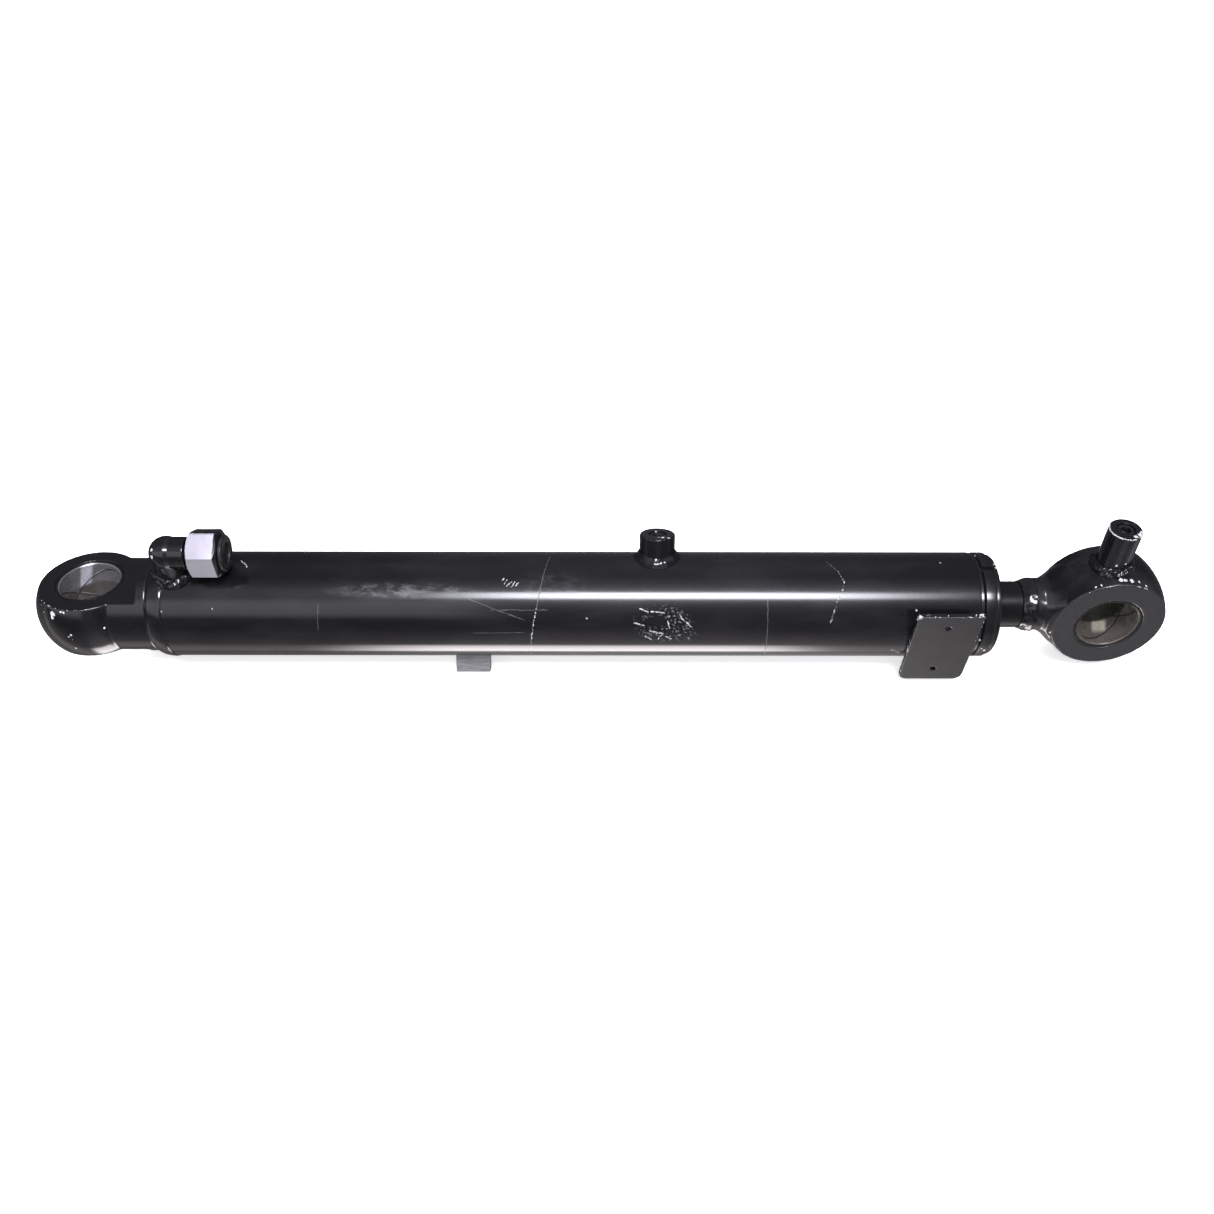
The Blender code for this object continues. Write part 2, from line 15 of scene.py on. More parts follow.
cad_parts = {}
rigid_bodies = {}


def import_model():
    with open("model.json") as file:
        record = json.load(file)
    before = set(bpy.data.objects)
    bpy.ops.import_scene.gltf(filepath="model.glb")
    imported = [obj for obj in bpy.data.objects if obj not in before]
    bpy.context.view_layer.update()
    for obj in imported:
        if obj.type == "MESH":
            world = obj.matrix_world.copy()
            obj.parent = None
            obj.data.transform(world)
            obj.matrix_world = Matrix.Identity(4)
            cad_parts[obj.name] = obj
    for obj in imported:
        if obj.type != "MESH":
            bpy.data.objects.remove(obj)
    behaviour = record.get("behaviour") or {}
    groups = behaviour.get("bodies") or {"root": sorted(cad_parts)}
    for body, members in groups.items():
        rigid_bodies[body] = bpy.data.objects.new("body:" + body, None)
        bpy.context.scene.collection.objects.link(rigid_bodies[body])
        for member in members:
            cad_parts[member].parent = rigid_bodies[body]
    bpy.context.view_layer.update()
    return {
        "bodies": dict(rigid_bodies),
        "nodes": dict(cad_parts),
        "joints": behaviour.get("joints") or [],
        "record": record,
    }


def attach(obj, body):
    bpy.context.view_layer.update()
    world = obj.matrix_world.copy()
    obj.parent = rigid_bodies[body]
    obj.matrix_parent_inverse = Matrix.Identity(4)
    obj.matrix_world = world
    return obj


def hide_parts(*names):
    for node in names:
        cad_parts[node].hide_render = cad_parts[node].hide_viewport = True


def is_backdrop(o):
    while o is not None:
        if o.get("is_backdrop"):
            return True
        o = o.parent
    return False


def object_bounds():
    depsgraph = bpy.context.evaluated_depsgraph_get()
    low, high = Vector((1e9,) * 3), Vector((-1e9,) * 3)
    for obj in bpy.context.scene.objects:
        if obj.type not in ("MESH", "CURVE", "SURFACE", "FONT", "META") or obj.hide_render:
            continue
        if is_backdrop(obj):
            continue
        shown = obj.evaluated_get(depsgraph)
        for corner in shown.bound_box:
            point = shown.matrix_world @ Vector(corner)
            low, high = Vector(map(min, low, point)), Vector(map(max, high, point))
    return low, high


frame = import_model()

MM = 0.001
FULL_TURN = math.tau
ALONG_X = Matrix.Rotation(math.radians(90), 4, "Y")


def place(x=0.0, clock=0.0, out=0.0):
    """A frame at x whose local Z points away from the cylinder's axis, with its origin that far out."""
    turn = Matrix.Rotation(math.radians(-clock), 4, "X")
    return Matrix.Translation((x * MM, 0, 0)) @ turn @ Matrix.Translation((0, 0, out * MM))


def radial(clock):
    """The direction that a clock angle points in."""
    return Vector((0, math.sin(math.radians(clock)), math.cos(math.radians(clock))))


# ---- sizes shared with the CAD
GAP = 0.3
PIN_R = 25.0
BUSH_R = 28.0
PIN_SPACING = 868.0
EYE_HALF = 25.0
BASE_FACE_R = 41.0
BASE_CROWN_R = 48.0
NECK_R = 41.0
FLAT_END = 48.5
ROD_FACE_R = 46.6
ROD_CROWN_R = 50.6
ROD_EYE_CLOCK = -96.0
BARREL_R = 45.0
BARREL_BORE_R = 37.5
BARREL_SEAT_R = 40.0
BARREL_START = 66.3
BARREL_END = 752.2
GLAND_START = 704.3
FLANGE_START = 755.2
FLANGE_END = 765.0
SLEEVE_R = 30.0
SLEEVE_SEAT_R = 27.0
HEAD_FLANGE_R = 43.0
HEAD_END = 769.7
ROD_R = 20.0
ROD_END = 800.5
PORT_X = 80.0
PORT_CLOCK = -13.0
PORT_AXIS_R = 66.5
PORT_SEAT_R = 45.6
STUB_R = 14.0
KNEE_R = 14.4
NUT = (101.0, 126.0)
NUT_FLATS = 36.0
NUT_CORNER_CLOCK = -8.0
BOSS_X = 484.0
BOSS_CLOCK = 15.0
BOSS_R = 15.0
BOSS_TOP = 64.4
POST_X = 864.0
POST_CLOCK = ROD_EYE_CLOCK + 90
POST_R = 13.5
POST_TOP = 86.3
PORT_THREAD_R = 7.6
TAB_X = 324.6
TAB_CLOCK = -156.0
TAB_TOP = 61.0
TAB_SUNK = 42.0
TAB_SIZE = (30.0, 8.0)
PLATE_X = 721.4
PLATE_CLOCK = -103.3
PLATE_WIDTH = 54.0
PLATE_HEIGHT = 88.0
PLATE_THICK = 4.0
PLATE_SHIFT = 1.5
PLATE_CORNER_R = 7.0
PLATE_HOLE_R = 2.6
PLATE_HOLE_SPACING = 57.0
CAMERA_CLOCK = -51.0
CAMERA_DISTANCE = 1000.0
CAMERA_LENS = 34.22
CAMERA_X = 441.5
CAMERA_DROP = 2.95
CAMERA_ROLL = 0.075


# ---- mesh tools
def mesh_of(name, build):
    """A mesh made by build(shape) on an empty bmesh, with its faces turned outwards."""
    shape = bmesh.new()
    build(shape)
    bmesh.ops.recalc_face_normals(shape, faces=shape.faces)
    mesh = bpy.data.meshes.new(name)
    shape.to_mesh(mesh)
    shape.free()
    return mesh


def soften(outline, radius, rows=4):
    """The closed outline with each corner off the axis rounded by about radius."""
    points = []
    for i, (x, r) in enumerate(outline):
        corner = Vector((x, r))
        before = Vector(outline[i - 1]) - corner
        after = Vector(outline[(i + 1) % len(outline)]) - corner
        turn = before.angle(-after, 0)
        if r < 0.01 or radius == 0 or turn < math.radians(12):
            points.append(corner)
            continue
        start = corner + before * min(radius / before.length, 0.45)
        end = corner + after * min(radius / after.length, 0.45)
        for row in range(rows + 1):
            t = row / rows
            points.append(start * (1 - t) ** 2 + corner * 2 * t * (1 - t) + end * t**2)
    return points


def lathe(name, outline, steps=160, soft=0.4, uneven=None):
    """Turns a closed outline of (x, radius) about X. uneven(x, angle) is added to the radius."""

    def build(shape):
        rings = []
        for x, r in soften(outline, soft):
            if r < 0.01:
                rings.append([shape.verts.new((x * MM, 0, 0))])
                continue
            ring = []
            for step in range(steps):
                angle = FULL_TURN * step / steps
                radius = r + (uneven(x, angle) if uneven else 0)
                across, up = math.sin(angle) * radius, math.cos(angle) * radius
                ring.append(shape.verts.new((x * MM, across * MM, up * MM)))
            rings.append(ring)
        for ring, after in zip(rings, rings[1:] + rings[:1]):
            join_rings(shape, ring, after)

    return mesh_of(name, build)


def join_rings(shape, ring, after):
    """Faces between two closed rings, either of which may be a single point."""
    count = max(len(ring), len(after))
    if count == 1:
        return
    for k in range(count):
        j = (k + 1) % count
        corners = [ring[k % len(ring)], ring[j % len(ring)], after[j % len(after)], after[k % len(after)]]
        shape.faces.new(dict.fromkeys(corners))


def cylinder(radius, length, frame, sides=96):
    """A cylinder mesh centred on the frame, along its local Z."""

    def build(shape):
        bmesh.ops.create_cone(
            shape, cap_ends=True, segments=sides, radius1=radius * MM, radius2=radius * MM,
            depth=length * MM, matrix=frame,
        )

    return mesh_of("tool", build)


def block(size, frame):
    """A box mesh centred on the frame."""

    def build(shape):
        bmesh.ops.create_cube(shape, size=1.0)
        bmesh.ops.scale(shape, vec=Vector(size) * MM, verts=shape.verts)
        bmesh.ops.transform(shape, matrix=frame, verts=shape.verts)

    return mesh_of("tool", build)


def ball(radius, frame):
    """A sphere mesh centred on the frame."""

    def build(shape):
        bmesh.ops.create_uvsphere(
            shape, u_segments=64, v_segments=32, radius=radius * MM, matrix=frame
        )

    return mesh_of("tool", build)


def moved(mesh, frame):
    """The mesh, moved from the origin to the frame."""
    mesh.transform(frame)
    return mesh


def crown_radius(face_r, crown_r, height):
    """An eye's rim radius: crown_r half-way between its faces, and face_r at each face."""
    swell = (crown_r**2 - face_r**2) / EYE_HALF**2
    return math.sqrt(crown_r**2 - swell * height**2)


def crowned_eye(face_r, crown_r, reach, frame, rows=24):
    """The round body of an eye, out to reach either way along the frame's local Z."""
    heights = [reach * (2 * row / rows - 1) for row in range(rows + 1)]
    outline = [(height, crown_radius(face_r, crown_r, height)) for height in heights]
    mesh = lathe("tool", [(-reach, 0), *outline, (reach, 0)], soft=0)
    return moved(mesh, frame @ ALONG_X.inverted())


def in_scene(name, data):
    """A new object in the scene."""
    obj = bpy.data.objects.new(name, data)
    bpy.context.scene.collection.objects.link(obj)
    return obj


def modified(mesh, steps):
    """The mesh with modifiers applied. Each step is (kind, settings)."""
    obj = in_scene("work", mesh)
    helpers = []
    for kind, settings in steps:
        modifier = obj.modifiers.new(kind, kind)
        for key, value in settings.items():
            if isinstance(value, bpy.types.Mesh):
                value = in_scene("helper", value)
                helpers.append(value)
            setattr(modifier, key, value)
    graph = bpy.context.evaluated_depsgraph_get()
    made = bpy.data.meshes.new_from_object(obj.evaluated_get(graph))
    for extra in (obj, *helpers):
        bpy.data.objects.remove(extra)
    return made


def boolean(operation, tool):
    return "BOOLEAN", {"operation": operation, "solver": "EXACT", "object": tool}


def cut(tool):
    return boolean("DIFFERENCE", tool)


def keep(tool):
    return boolean("INTERSECT", tool)


def add(tool):
    return boolean("UNION", tool)


def edges(width, rows=3, angle=30):
    """Rounds the edges that turn by more than an angle."""
    settings = {"width": width * MM, "segments": rows, "limit_method": "ANGLE"}
    return "BEVEL", settings | {"angle_limit": math.radians(angle), "harden_normals": False}


def forged(voxel, passes):
    """Melts the solids into one skin with soft edges."""
    return [
        ("REMESH", {"mode": "VOXEL", "voxel_size": voxel * MM}),
        ("SMOOTH", {"factor": 0.5, "iterations": passes}),
    ]


def piece(name, mesh, body, slot, finish, *nodes, crease=None):
    """Puts a finished mesh in the scene, on its body, in place of the CAD nodes."""
    obj = in_scene(name, mesh)
    mesh.materials.clear()
    mesh.materials.append(finish)
    mesh.shade_smooth()
    if crease:
        mesh.set_sharp_from_angle(angle=math.radians(crease))
    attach(obj, body)
    if nodes:
        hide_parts(*nodes)
    return obj


# ---- material tools
class Graph:
    """A node tree, built by short calls that return sockets."""

    def __init__(self, tree):
        self.tree = tree

    def node(self, kind, **settings):
        made = self.tree.nodes.new(kind)
        for key, value in settings.items():
            setattr(made, key, value)
        return made

    def feed(self, made, values):
        for key, value in values.items():
            if isinstance(value, bpy.types.NodeSocket):
                self.tree.links.new(value, made.inputs[key])
            elif value is not None:
                made.inputs[key].default_value = value
        return made

    def math(self, operation, a, b=None, c=None):
        made = self.feed(self.node("ShaderNodeMath", operation=operation), {0: a, 1: b, 2: c})
        return made.outputs[0]

    def times(self, a, b):
        return self.math("MULTIPLY", a, b)

    def plus(self, a, b):
        return self.math("ADD", a, b)

    def minus(self, a, b):
        return self.math("SUBTRACT", a, b)

    def size(self, a):
        return self.math("ABSOLUTE", a)

    def along(self, where, direction):
        """How far a place lies along a fixed direction."""
        return self.vector("DOT_PRODUCT", where, tuple(direction))

    def vector(self, operation, a, b=None, scale=None):
        made = self.node("ShaderNodeVectorMath", operation=operation)
        self.feed(made, {0: a, 1: b, "Scale": scale})
        scalar = operation in ("DOT_PRODUCT", "LENGTH")
        return made.outputs["Value" if scalar else "Vector"]

    def smooth(self, value, low, high):
        """0 below low, 1 above high, and a smooth step between, or the reverse if low is above high."""
        made = self.node("ShaderNodeMapRange", interpolation_type="SMOOTHSTEP")
        flip = low > high
        first, last = (high, low) if flip else (low, high)
        to = {"To Min": 1.0, "To Max": 0.0} if flip else {}
        self.feed(made, {"Value": value, "From Min": first, "From Max": last} | to)
        return made.outputs["Result"]

    def mix(self, mask, a, b):
        made = self.node("ShaderNodeMix", data_type="RGBA")
        colours = [(*c, 1) if isinstance(c, tuple) else c for c in (a, b)]
        self.feed(made, {0: mask, 6: colours[0], 7: colours[1]})
        return made.outputs[2]

    def blend(self, mask, a, b):
        return self.feed(self.node("ShaderNodeMix"), {0: mask, 2: a, 3: b}).outputs[0]

    def both(self, *masks):
        """The largest of the masks."""
        result = masks[0]
        for mask in masks[1:]:
            result = self.math("MAXIMUM", result, mask)
        return result

    def bump(self, height, depth, under=None):
        """Bump whose height of 1 stands depth millimetres out."""
        made = self.node("ShaderNodeBump")
        made.inputs["Strength"].default_value = 1.0
        made.inputs["Distance"].default_value = depth * MM
        self.feed(made, {"Height": height, "Normal": under})
        return made.outputs["Normal"]


class Finish(Graph):
    """A material's nodes. place is where each point of a surface is, in the object's own frame."""

    def __init__(self, name, colour, roughness, metallic=0.0):
        self.material = bpy.data.materials.new(name)
        self.material.use_nodes = True
        super().__init__(self.material.node_tree)
        self.shader = self.tree.nodes["Principled BSDF"]
        self.shader.inputs["Base Color"].default_value = (*colour, 1)
        self.shader.inputs["Roughness"].default_value = roughness
        self.shader.inputs["Metallic"].default_value = metallic
        self.place = self.node("ShaderNodeTexCoord").outputs["Object"]

    def past(self, origin):
        """The place measured from a frame's origin, along the object's own directions."""
        return self.vector("SUBTRACT", self.place, tuple(origin.to_translation()))

    def noise(self, size, detail=2.0, stretch=(1, 1, 1), roughness=0.5):
        """Noise with blotches of about size millimetres, drawn out along an axis by stretch."""
        scale = [1 / (size * MM * along) for along in stretch]
        grown = self.vector("MULTIPLY", self.place, scale)
        made = self.node("ShaderNodeTexNoise")
        self.feed(made, {"Vector": grown, "Scale": 1.0, "Detail": detail, "Roughness": roughness})
        return made.outputs["Fac"]

    def finish(self, **sockets):
        names = {"colour": "Base Color", "roughness": "Roughness", "normal": "Normal", "metallic": "Metallic"}
        for key, value in sockets.items():
            self.tree.links.new(value, self.shader.inputs[names[key]])
        return self.material

    def unrolled(self):
        """The place on the barrel laid flat: millimetres along it, and round it from clock 0."""
        split = self.node("ShaderNodeSeparateXYZ")
        self.tree.links.new(self.place, split.inputs[0])
        turn = self.math("ARCTAN2", split.outputs["Y"], split.outputs["Z"])
        flat = self.node("ShaderNodeCombineXYZ")
        along = self.times(split.outputs["X"], 1 / MM)
        self.feed(flat, {0: along, 1: self.times(turn, BARREL_R)})
        return flat.outputs[0]

    def stroke(self, flat, start, end, width):
        """1 on a line between two places on the unrolled barrel, given as (x, clock)."""
        a, b = (Vector((x, math.radians(clock) * BARREL_R, 0)) for x, clock in (start, end))
        away = self.vector("SUBTRACT", flat, tuple(a))
        span = b - a
        share = self.times(self.vector("DOT_PRODUCT", away, tuple(span)), 1 / span.length_squared)
        share.node.use_clamp = True
        nearest = self.vector("SCALE", tuple(span), scale=share)
        distance = self.vector("LENGTH", self.vector("SUBTRACT", away, nearest))
        return self.smooth(distance, width, width * 0.4)

    def patch(self, flat, middle, reach):
        """1 in the middle of an oval on the unrolled barrel, falling to 0 at its reach in millimetres."""
        x, clock = middle
        away = self.vector("SUBTRACT", flat, (x, math.radians(clock) * BARREL_R, 0))
        scaled = self.vector("MULTIPLY", away, (1 / reach[0], 1 / reach[1], 0))
        return self.smooth(self.vector("LENGTH", scaled), 1.0, 0.3)


BLACK = (0.0035, 0.0035, 0.0042)
DUST_AND_SHEEN = (0.05, 0.05, 0.052)
PRIMER_AND_HIGHLIGHT = (0.36, 0.36, 0.37)
CHROME = (0.7, 0.71, 0.73)
FAINT_FILM = 0.02


def worn(g, distance, width, share):
    """1 within about width millimetres of an edge, in ragged patches over a share of its length."""
    ragged = g.times(g.minus(g.noise(1.1, 3), 0.5), 2.2 * width * MM)
    near = g.smooth(g.plus(distance, ragged), width * MM, 0.7 * width * MM)
    start = 0.5 + 0.3 * (0.5 - share)
    return g.times(near, g.smooth(g.noise(4, 3, roughness=0.65), start, start + 0.03))


def rim_distance(g, frame, height, radius):
    """How far a place is from the circle at a height and a radius about the frame's local Z."""
    local = g.past(frame)
    axis = frame.to_3x3() @ Vector((0, 0, 1))
    rise = g.along(local, axis)
    out = g.vector("SUBTRACT", local, g.vector("SCALE", tuple(axis), scale=rise))
    across = g.minus(g.vector("LENGTH", out), radius * MM)
    above = g.minus(rise, height * MM)
    return g.math("SQRT", g.plus(g.math("POWER", across, 2), g.math("POWER", above, 2)))


def spot(g, middle, reach):
    """1 within reach millimetres of a place in the object's frame, with a ragged edge."""
    away = g.vector("LENGTH", g.vector("SUBTRACT", g.place, tuple(Vector(middle) * MM)))
    ragged = g.times(g.minus(g.noise(1.3, 3), 0.5), 1.9 * reach * MM)
    return g.smooth(g.plus(away, ragged), reach * MM, 0.75 * reach * MM)


def paint(name, roughness=0.15, dust=0.05, peel=0.012, marks=None):
    """Gloss black enamel: orange peel, a film of dust, and chips down to the primer. Marks passed in can also
    add painted light: the elbow's pale spots are painted highlights, and the tab's pale film is a painted
    sheen.
    """
    g = Finish(name, BLACK, roughness)
    film = g.times(g.smooth(g.noise(22, 5, (3, 1, 1)), 0.42, 0.75), dust)
    chips = g.smooth(g.noise(1.6, 2), 0.83, 0.87)
    if marks:
        # gone holds chipped paint, plus painted highlights on the elbow; haze holds dust, plus a painted
        # sheen on the tab.
        gone, haze = marks(g)
        chips = g.both(chips, gone)
        film = g.both(film, haze)
    colour = g.mix(chips, g.mix(film, BLACK, DUST_AND_SHEEN), PRIMER_AND_HIGHLIGHT)
    rough = g.blend(chips, g.blend(film, roughness, 0.5), 0.55)
    surface = g.math("MULTIPLY_ADD", chips, -2.0, g.noise(2.6, 3))
    return g.finish(colour=colour, roughness=rough, normal=g.bump(surface, peel))


HATCHES = [
    ((354.5, -26.1), (355.8, -23.8)), ((355.8, -30), (358.3, -25.5)), ((358.3, -32.4), (362.2, -27.8)),
    ((362.2, -33.5), (364.8, -27.8)), ((365.2, -33), (367.8, -29)),
]
DRAG = [(383, -57), (380.5, -72), (379, -84), (377.5, -104), (376.5, -124)]
CURL = [(634.5, -15), (638.5, -27), (637, -36), (632.5, -47), (627, -71)]
SCUFF = [
    ((468.8, -57), (475.5, -60)), ((478, -59.5), (489, -61)), ((502, -62), (503.5, -67)),
    ((503, -66), (511.7, -76.5)), ((492, -70), (493.7, -78)), ((463.8, -72), (472, -75)),
    ((477, -81.5), (487.9, -85)), ((487.9, -85), (484, -92)), ((473.6, -88), (478.8, -93.3)),
    ((491, -89), (495, -92)),
]
NICKS = [((133, 2), (138, -5)), ((138, -5), (140, -9)), ((683, -111), (691, -119))]
FAINT = [
    ((345, -58.2), (392, -58)), ((330, -84.5), (372, -84)), ((202.3, -53), (201, -80)),
    ((574.5, -48), (576, -128)), ((316, -41), (373, -69)), ((393, 10), (383, -57)), ((626, 1), (634.5, -15)),
]
DOTS = [(114.5, -57.4), (71.5, -39), (72.3, -60), (721.7, -1), (698, -57.5), (425, -66.6)]


def barrel_marks(g):
    """The barrel's scratches and scuffs, at (x, clock) along and round it, as (marks, haze)."""
    flat = g.unrolled()
    wobble = g.node("ShaderNodeTexNoise")
    g.feed(wobble, {"Vector": flat, "Scale": 0.45, "Detail": 4.0})
    shift = g.vector("SCALE", g.vector("SUBTRACT", wobble.outputs["Color"], (0.5, 0.5, 0.5)), scale=2.6)
    wavy = g.vector("MULTIPLY", g.vector("ADD", flat, shift), (1, 1, 0))
    gaps = g.smooth(g.noise(2.6, 4, roughness=0.75), 0.5, 0.56)
    fine_gaps = g.smooth(g.noise(1.4, 3, roughness=0.7), 0.4, 0.55)
    broken = g.both(*(g.stroke(wavy, a, b, 0.65) for route in (DRAG, CURL) for a, b in zip(route, route[1:])))
    crisp = g.both(*(g.stroke(wavy, a, b, 0.5) for a, b in HATCHES + NICKS))
    rubbed = g.both(*(g.stroke(wavy, a, b, 0.65) for a, b in SCUFF))
    dots = g.both(*(g.patch(wavy, middle, (1.0, 1.2)) for middle in DOTS))
    scuffed = g.both(g.patch(flat, (489, -74), (30, 21)), g.patch(flat, (504, -80), (16, 17)))
    bald = g.patch(flat, (483, -71), (16, 9))
    ragged = g.smooth(g.noise(2.0, 5, (1.3, 1, 1), roughness=0.8), 0.56, 0.64)
    scuff = g.times(g.minus(scuffed, bald), ragged)
    scuff.node.use_clamp = True
    marks = g.both(g.times(broken, gaps), g.times(g.both(crisp, rubbed, dots), fine_gaps),
                   g.times(scuff, 0.6))
    faint = g.both(*(g.stroke(wavy, a, b, 0.5) for a, b in FAINT))
    faint = g.times(faint, g.blend(gaps, 0.45, 1.0))
    cloud = g.smooth(g.noise(6, 5, (2, 1, 1), roughness=0.7), 0.4, 0.65)
    smear = g.both(g.times(g.patch(flat, (270, -37), (75, 9)), 0.55),
                   g.times(g.patch(flat, (395, -30), (40, 18)), 0.22))
    return marks, g.both(faint, g.times(smear, cloud))


def tab_brushing_and_sheen(g):
    """The tab's brushed lines, over a pale grey film all over it that is a painted sheen for the light on its
    face.
    """
    lines = g.smooth(g.noise(0.9, 3, (14, 1, 1)), 0.4, 0.65)
    return g.blend(lines, 0.16, 0.34), g.smooth(g.noise(9, 2), 0.0, 0.1)


def plate_marks(frame):
    """Paint gone along the plate's edges, round its holes, and at two of its corners."""

    def build(g):
        local = g.past(frame)
        turn = frame.to_3x3()
        along = g.size(g.along(local, turn @ Vector((1, 0, 0))))
        up = g.along(local, turn @ Vector((0, 1, 0)))
        side = g.minus(PLATE_WIDTH / 2 * MM, along)
        top = g.plus(PLATE_HEIGHT / 2 * MM, up)
        distance = g.math("MINIMUM", side, top)
        holes = [rim_distance(g, frame @ Matrix.Translation((0, y * PLATE_HOLE_SPACING / 2 * MM, 0)),
                              PLATE_THICK / 2, PLATE_HOLE_R) for y in (1, -1)]
        corner = frame @ Vector((PLATE_WIDTH / 2 * MM, -PLATE_HEIGHT / 2 * MM, PLATE_THICK / 2 * MM))
        far = frame @ Vector(((PLATE_WIDTH / 2 - 3) * MM, PLATE_HEIGHT / 2 * MM, 0))
        chips = [worn(g, distance, 0.4, 0.15), worn(g, side, 0.6, 0.3)]
        chips += [worn(g, hole, 0.5, 0.4) for hole in holes]
        chips += [spot(g, corner / MM, 2.8), spot(g, far / MM, 2.4)]
        return g.both(*chips), g.times(g.smooth(g.noise(16, 4), 0.2, 0.6), 0.05)

    return build


def stub_marks(frame, top, radius, spots, width=0.9):
    """Paint gone round a stub's top edge, mostly on the side that the spots are on."""

    def build(g):
        facing = g.along(g.past(frame), radial(CAMERA_CLOCK - 30))
        rim = worn(g, rim_distance(g, frame, top, radius), width, 0.72)
        rim = g.times(rim, g.smooth(facing, 2 * MM, 9 * MM))
        return g.both(rim, *(spot(g, *place_and_size) for place_and_size in spots)), FAINT_FILM

    return build


def eye_marks(frame, face_r, span, spots, film=FAINT_FILM):
    """Paint gone from an eye's front rim over a span (middle x, reach) and at its spots, and dust."""
    middle, reach = span

    def build(g):
        from_middle = g.size(g.minus(g.along(g.place, (1, 0, 0)), middle * MM))
        within = g.smooth(from_middle, reach * MM, (reach - 3) * MM)
        rim = g.times(within, worn(g, rim_distance(g, frame, EYE_HALF, face_r), 0.45, 0.36))
        height = g.along(g.past(frame), frame.to_3x3() @ Vector((0, 0, 1)))
        front = g.times(g.smooth(height, (EYE_HALF - 1.5) * MM, (EYE_HALF - 0.5) * MM), film)
        return g.both(rim, *(spot(g, *place_and_size) for place_and_size in spots)), front

    return build


def steel(name, colour, roughness, lay=(1, 1, 1), size=1.2, depth=0.004):
    """Bare metal with the fine lines of its finishing, drawn out along lay."""
    g = Finish(name, colour, roughness, 1.0)
    lines = g.noise(size, 4, lay)
    stain = g.smooth(g.noise(9, 4), 0.35, 0.75)
    dark = tuple(0.55 * c for c in colour)
    rough = g.blend(stain, roughness, min(1.0, roughness * 1.6))
    return g.finish(colour=g.mix(g.times(stain, 0.5), colour, dark), roughness=rough,
                    normal=g.bump(lines, depth))


def plain(name, colour, roughness, size=1.5, depth=0.01):
    """Moulded rubber or plastic."""
    g = Finish(name, colour, roughness)
    grain = g.noise(size, 4)
    light = tuple(min(1.0, 1.6 * c + 0.01) for c in colour)
    faded = g.smooth(g.noise(8, 4), 0.45, 0.8)
    return g.finish(colour=g.mix(faded, colour, light), roughness=g.blend(faded, roughness, roughness + 0.15),
                    normal=g.bump(grain, depth))


def bush_finish(name, axis_frame, reflection_band, shade_height, colours):
    """A bored bush: bare inside with two crossing oil grooves, painted on its end faces.

    The bright band on the bore is a painted reflection, placed where the third argument (turn, spread, top)
    says; below the height given fourth, the bore is darkened as painted shade.
    """
    # The first colour is the painted reflection's; the last is both the stains' colour and the painted shade
    # deep in the bore.
    bright, middle, dark = colours
    g = Finish(name, middle, 0.22)
    local = g.past(axis_frame)
    turned = axis_frame.to_3x3()
    across, along, height = (
        g.along(local, turned @ Vector(axis)) for axis in ((1, 0, 0), (0, 1, 0), (0, 0, 1))
    )
    turn = g.math("ARCTAN2", along, across)
    rise = g.times(g.math("SINE", g.plus(turn, 0.6)), 0.75 * EYE_HALF * MM)
    away = g.size(g.minus(g.size(height), g.size(rise)))
    groove = g.smooth(away, 1.1 * MM, 0.6 * MM)
    face = g.smooth(g.size(height), (EYE_HALF - 1.3) * MM, (EYE_HALF - 1.0) * MM)
    start, spread, top = reflection_band
    # Painted reflection: a bright band that leans across the bore.
    lean = g.math("MULTIPLY_ADD", height, 12.0, g.minus(turn, start))
    painted_reflection = g.smooth(g.size(lean), spread + 0.12, spread)
    painted_reflection = g.times(painted_reflection, g.smooth(height, (top + 3) * MM, (top - 3) * MM))
    stain = g.smooth(g.noise(11, 4), 0.35, 0.7)
    bare = g.mix(g.times(stain, 0.4), g.mix(painted_reflection, middle, bright), dark)
    # Painted shade: the bore turns dark below a set height.
    bare = g.mix(g.smooth(height, (shade_height + 2) * MM, (shade_height - 2) * MM), bare, dark)
    bare = g.mix(g.times(groove, 0.8), bare, (0.02, 0.018, 0.016))
    relief = g.math("MULTIPLY_ADD", groove, -30.0, g.noise(0.8, 3))
    return g.finish(colour=g.mix(face, bare, BLACK), roughness=g.blend(stain, 0.2, 0.34),
                    normal=g.bump(relief, 0.01), metallic=g.times(g.minus(1.0, face), 0.5))


def nut_finish():
    """Bright zinc on the flats that face the elbow's outer side, under black overspray elsewhere, with the
    lower of those flats darkened as painted shade.
    """
    g = Finish("zinc_nut", (0.62, 0.61, 0.67), 0.42, 0.35)
    local = g.vector("SUBTRACT", g.place, tuple(radial(PORT_CLOCK) * PORT_AXIS_R * MM))
    away = g.along(local, radial(NUT_CORNER_CLOCK - 60))
    split = g.node("ShaderNodeSeparateXYZ")
    g.tree.links.new(local, split.inputs[0])
    ragged = g.times(g.minus(g.noise(4, 4), 0.5), 5 * MM)
    bare = g.smooth(g.plus(away, ragged), 6.0 * MM, 6.6 * MM)
    end = g.smooth(g.plus(split.outputs["X"], g.times(ragged, 0.2)),
                   (NUT[1] - 2.6) * MM, (NUT[1] - 2.9) * MM)
    bare = g.times(bare, end)
    grime = g.smooth(g.noise(7, 5), 0.4, 0.8)
    zinc = g.mix(g.times(grime, 0.35), (0.27, 0.255, 0.3), (0.17, 0.165, 0.19))
    # Painted shade: bare zinc below the corner between the two flats is darker.
    above = g.along(local, radial(NUT_CORNER_CLOCK + 30))
    zinc = g.mix(g.smooth(above, 0.3 * MM, -0.3 * MM), zinc, (0.15, 0.145, 0.16))
    return g.finish(colour=g.mix(bare, BLACK, zinc), roughness=g.blend(bare, 0.16, 0.4),
                    metallic=g.times(bare, 0.05), normal=g.bump(g.noise(1.5, 4), 0.012))


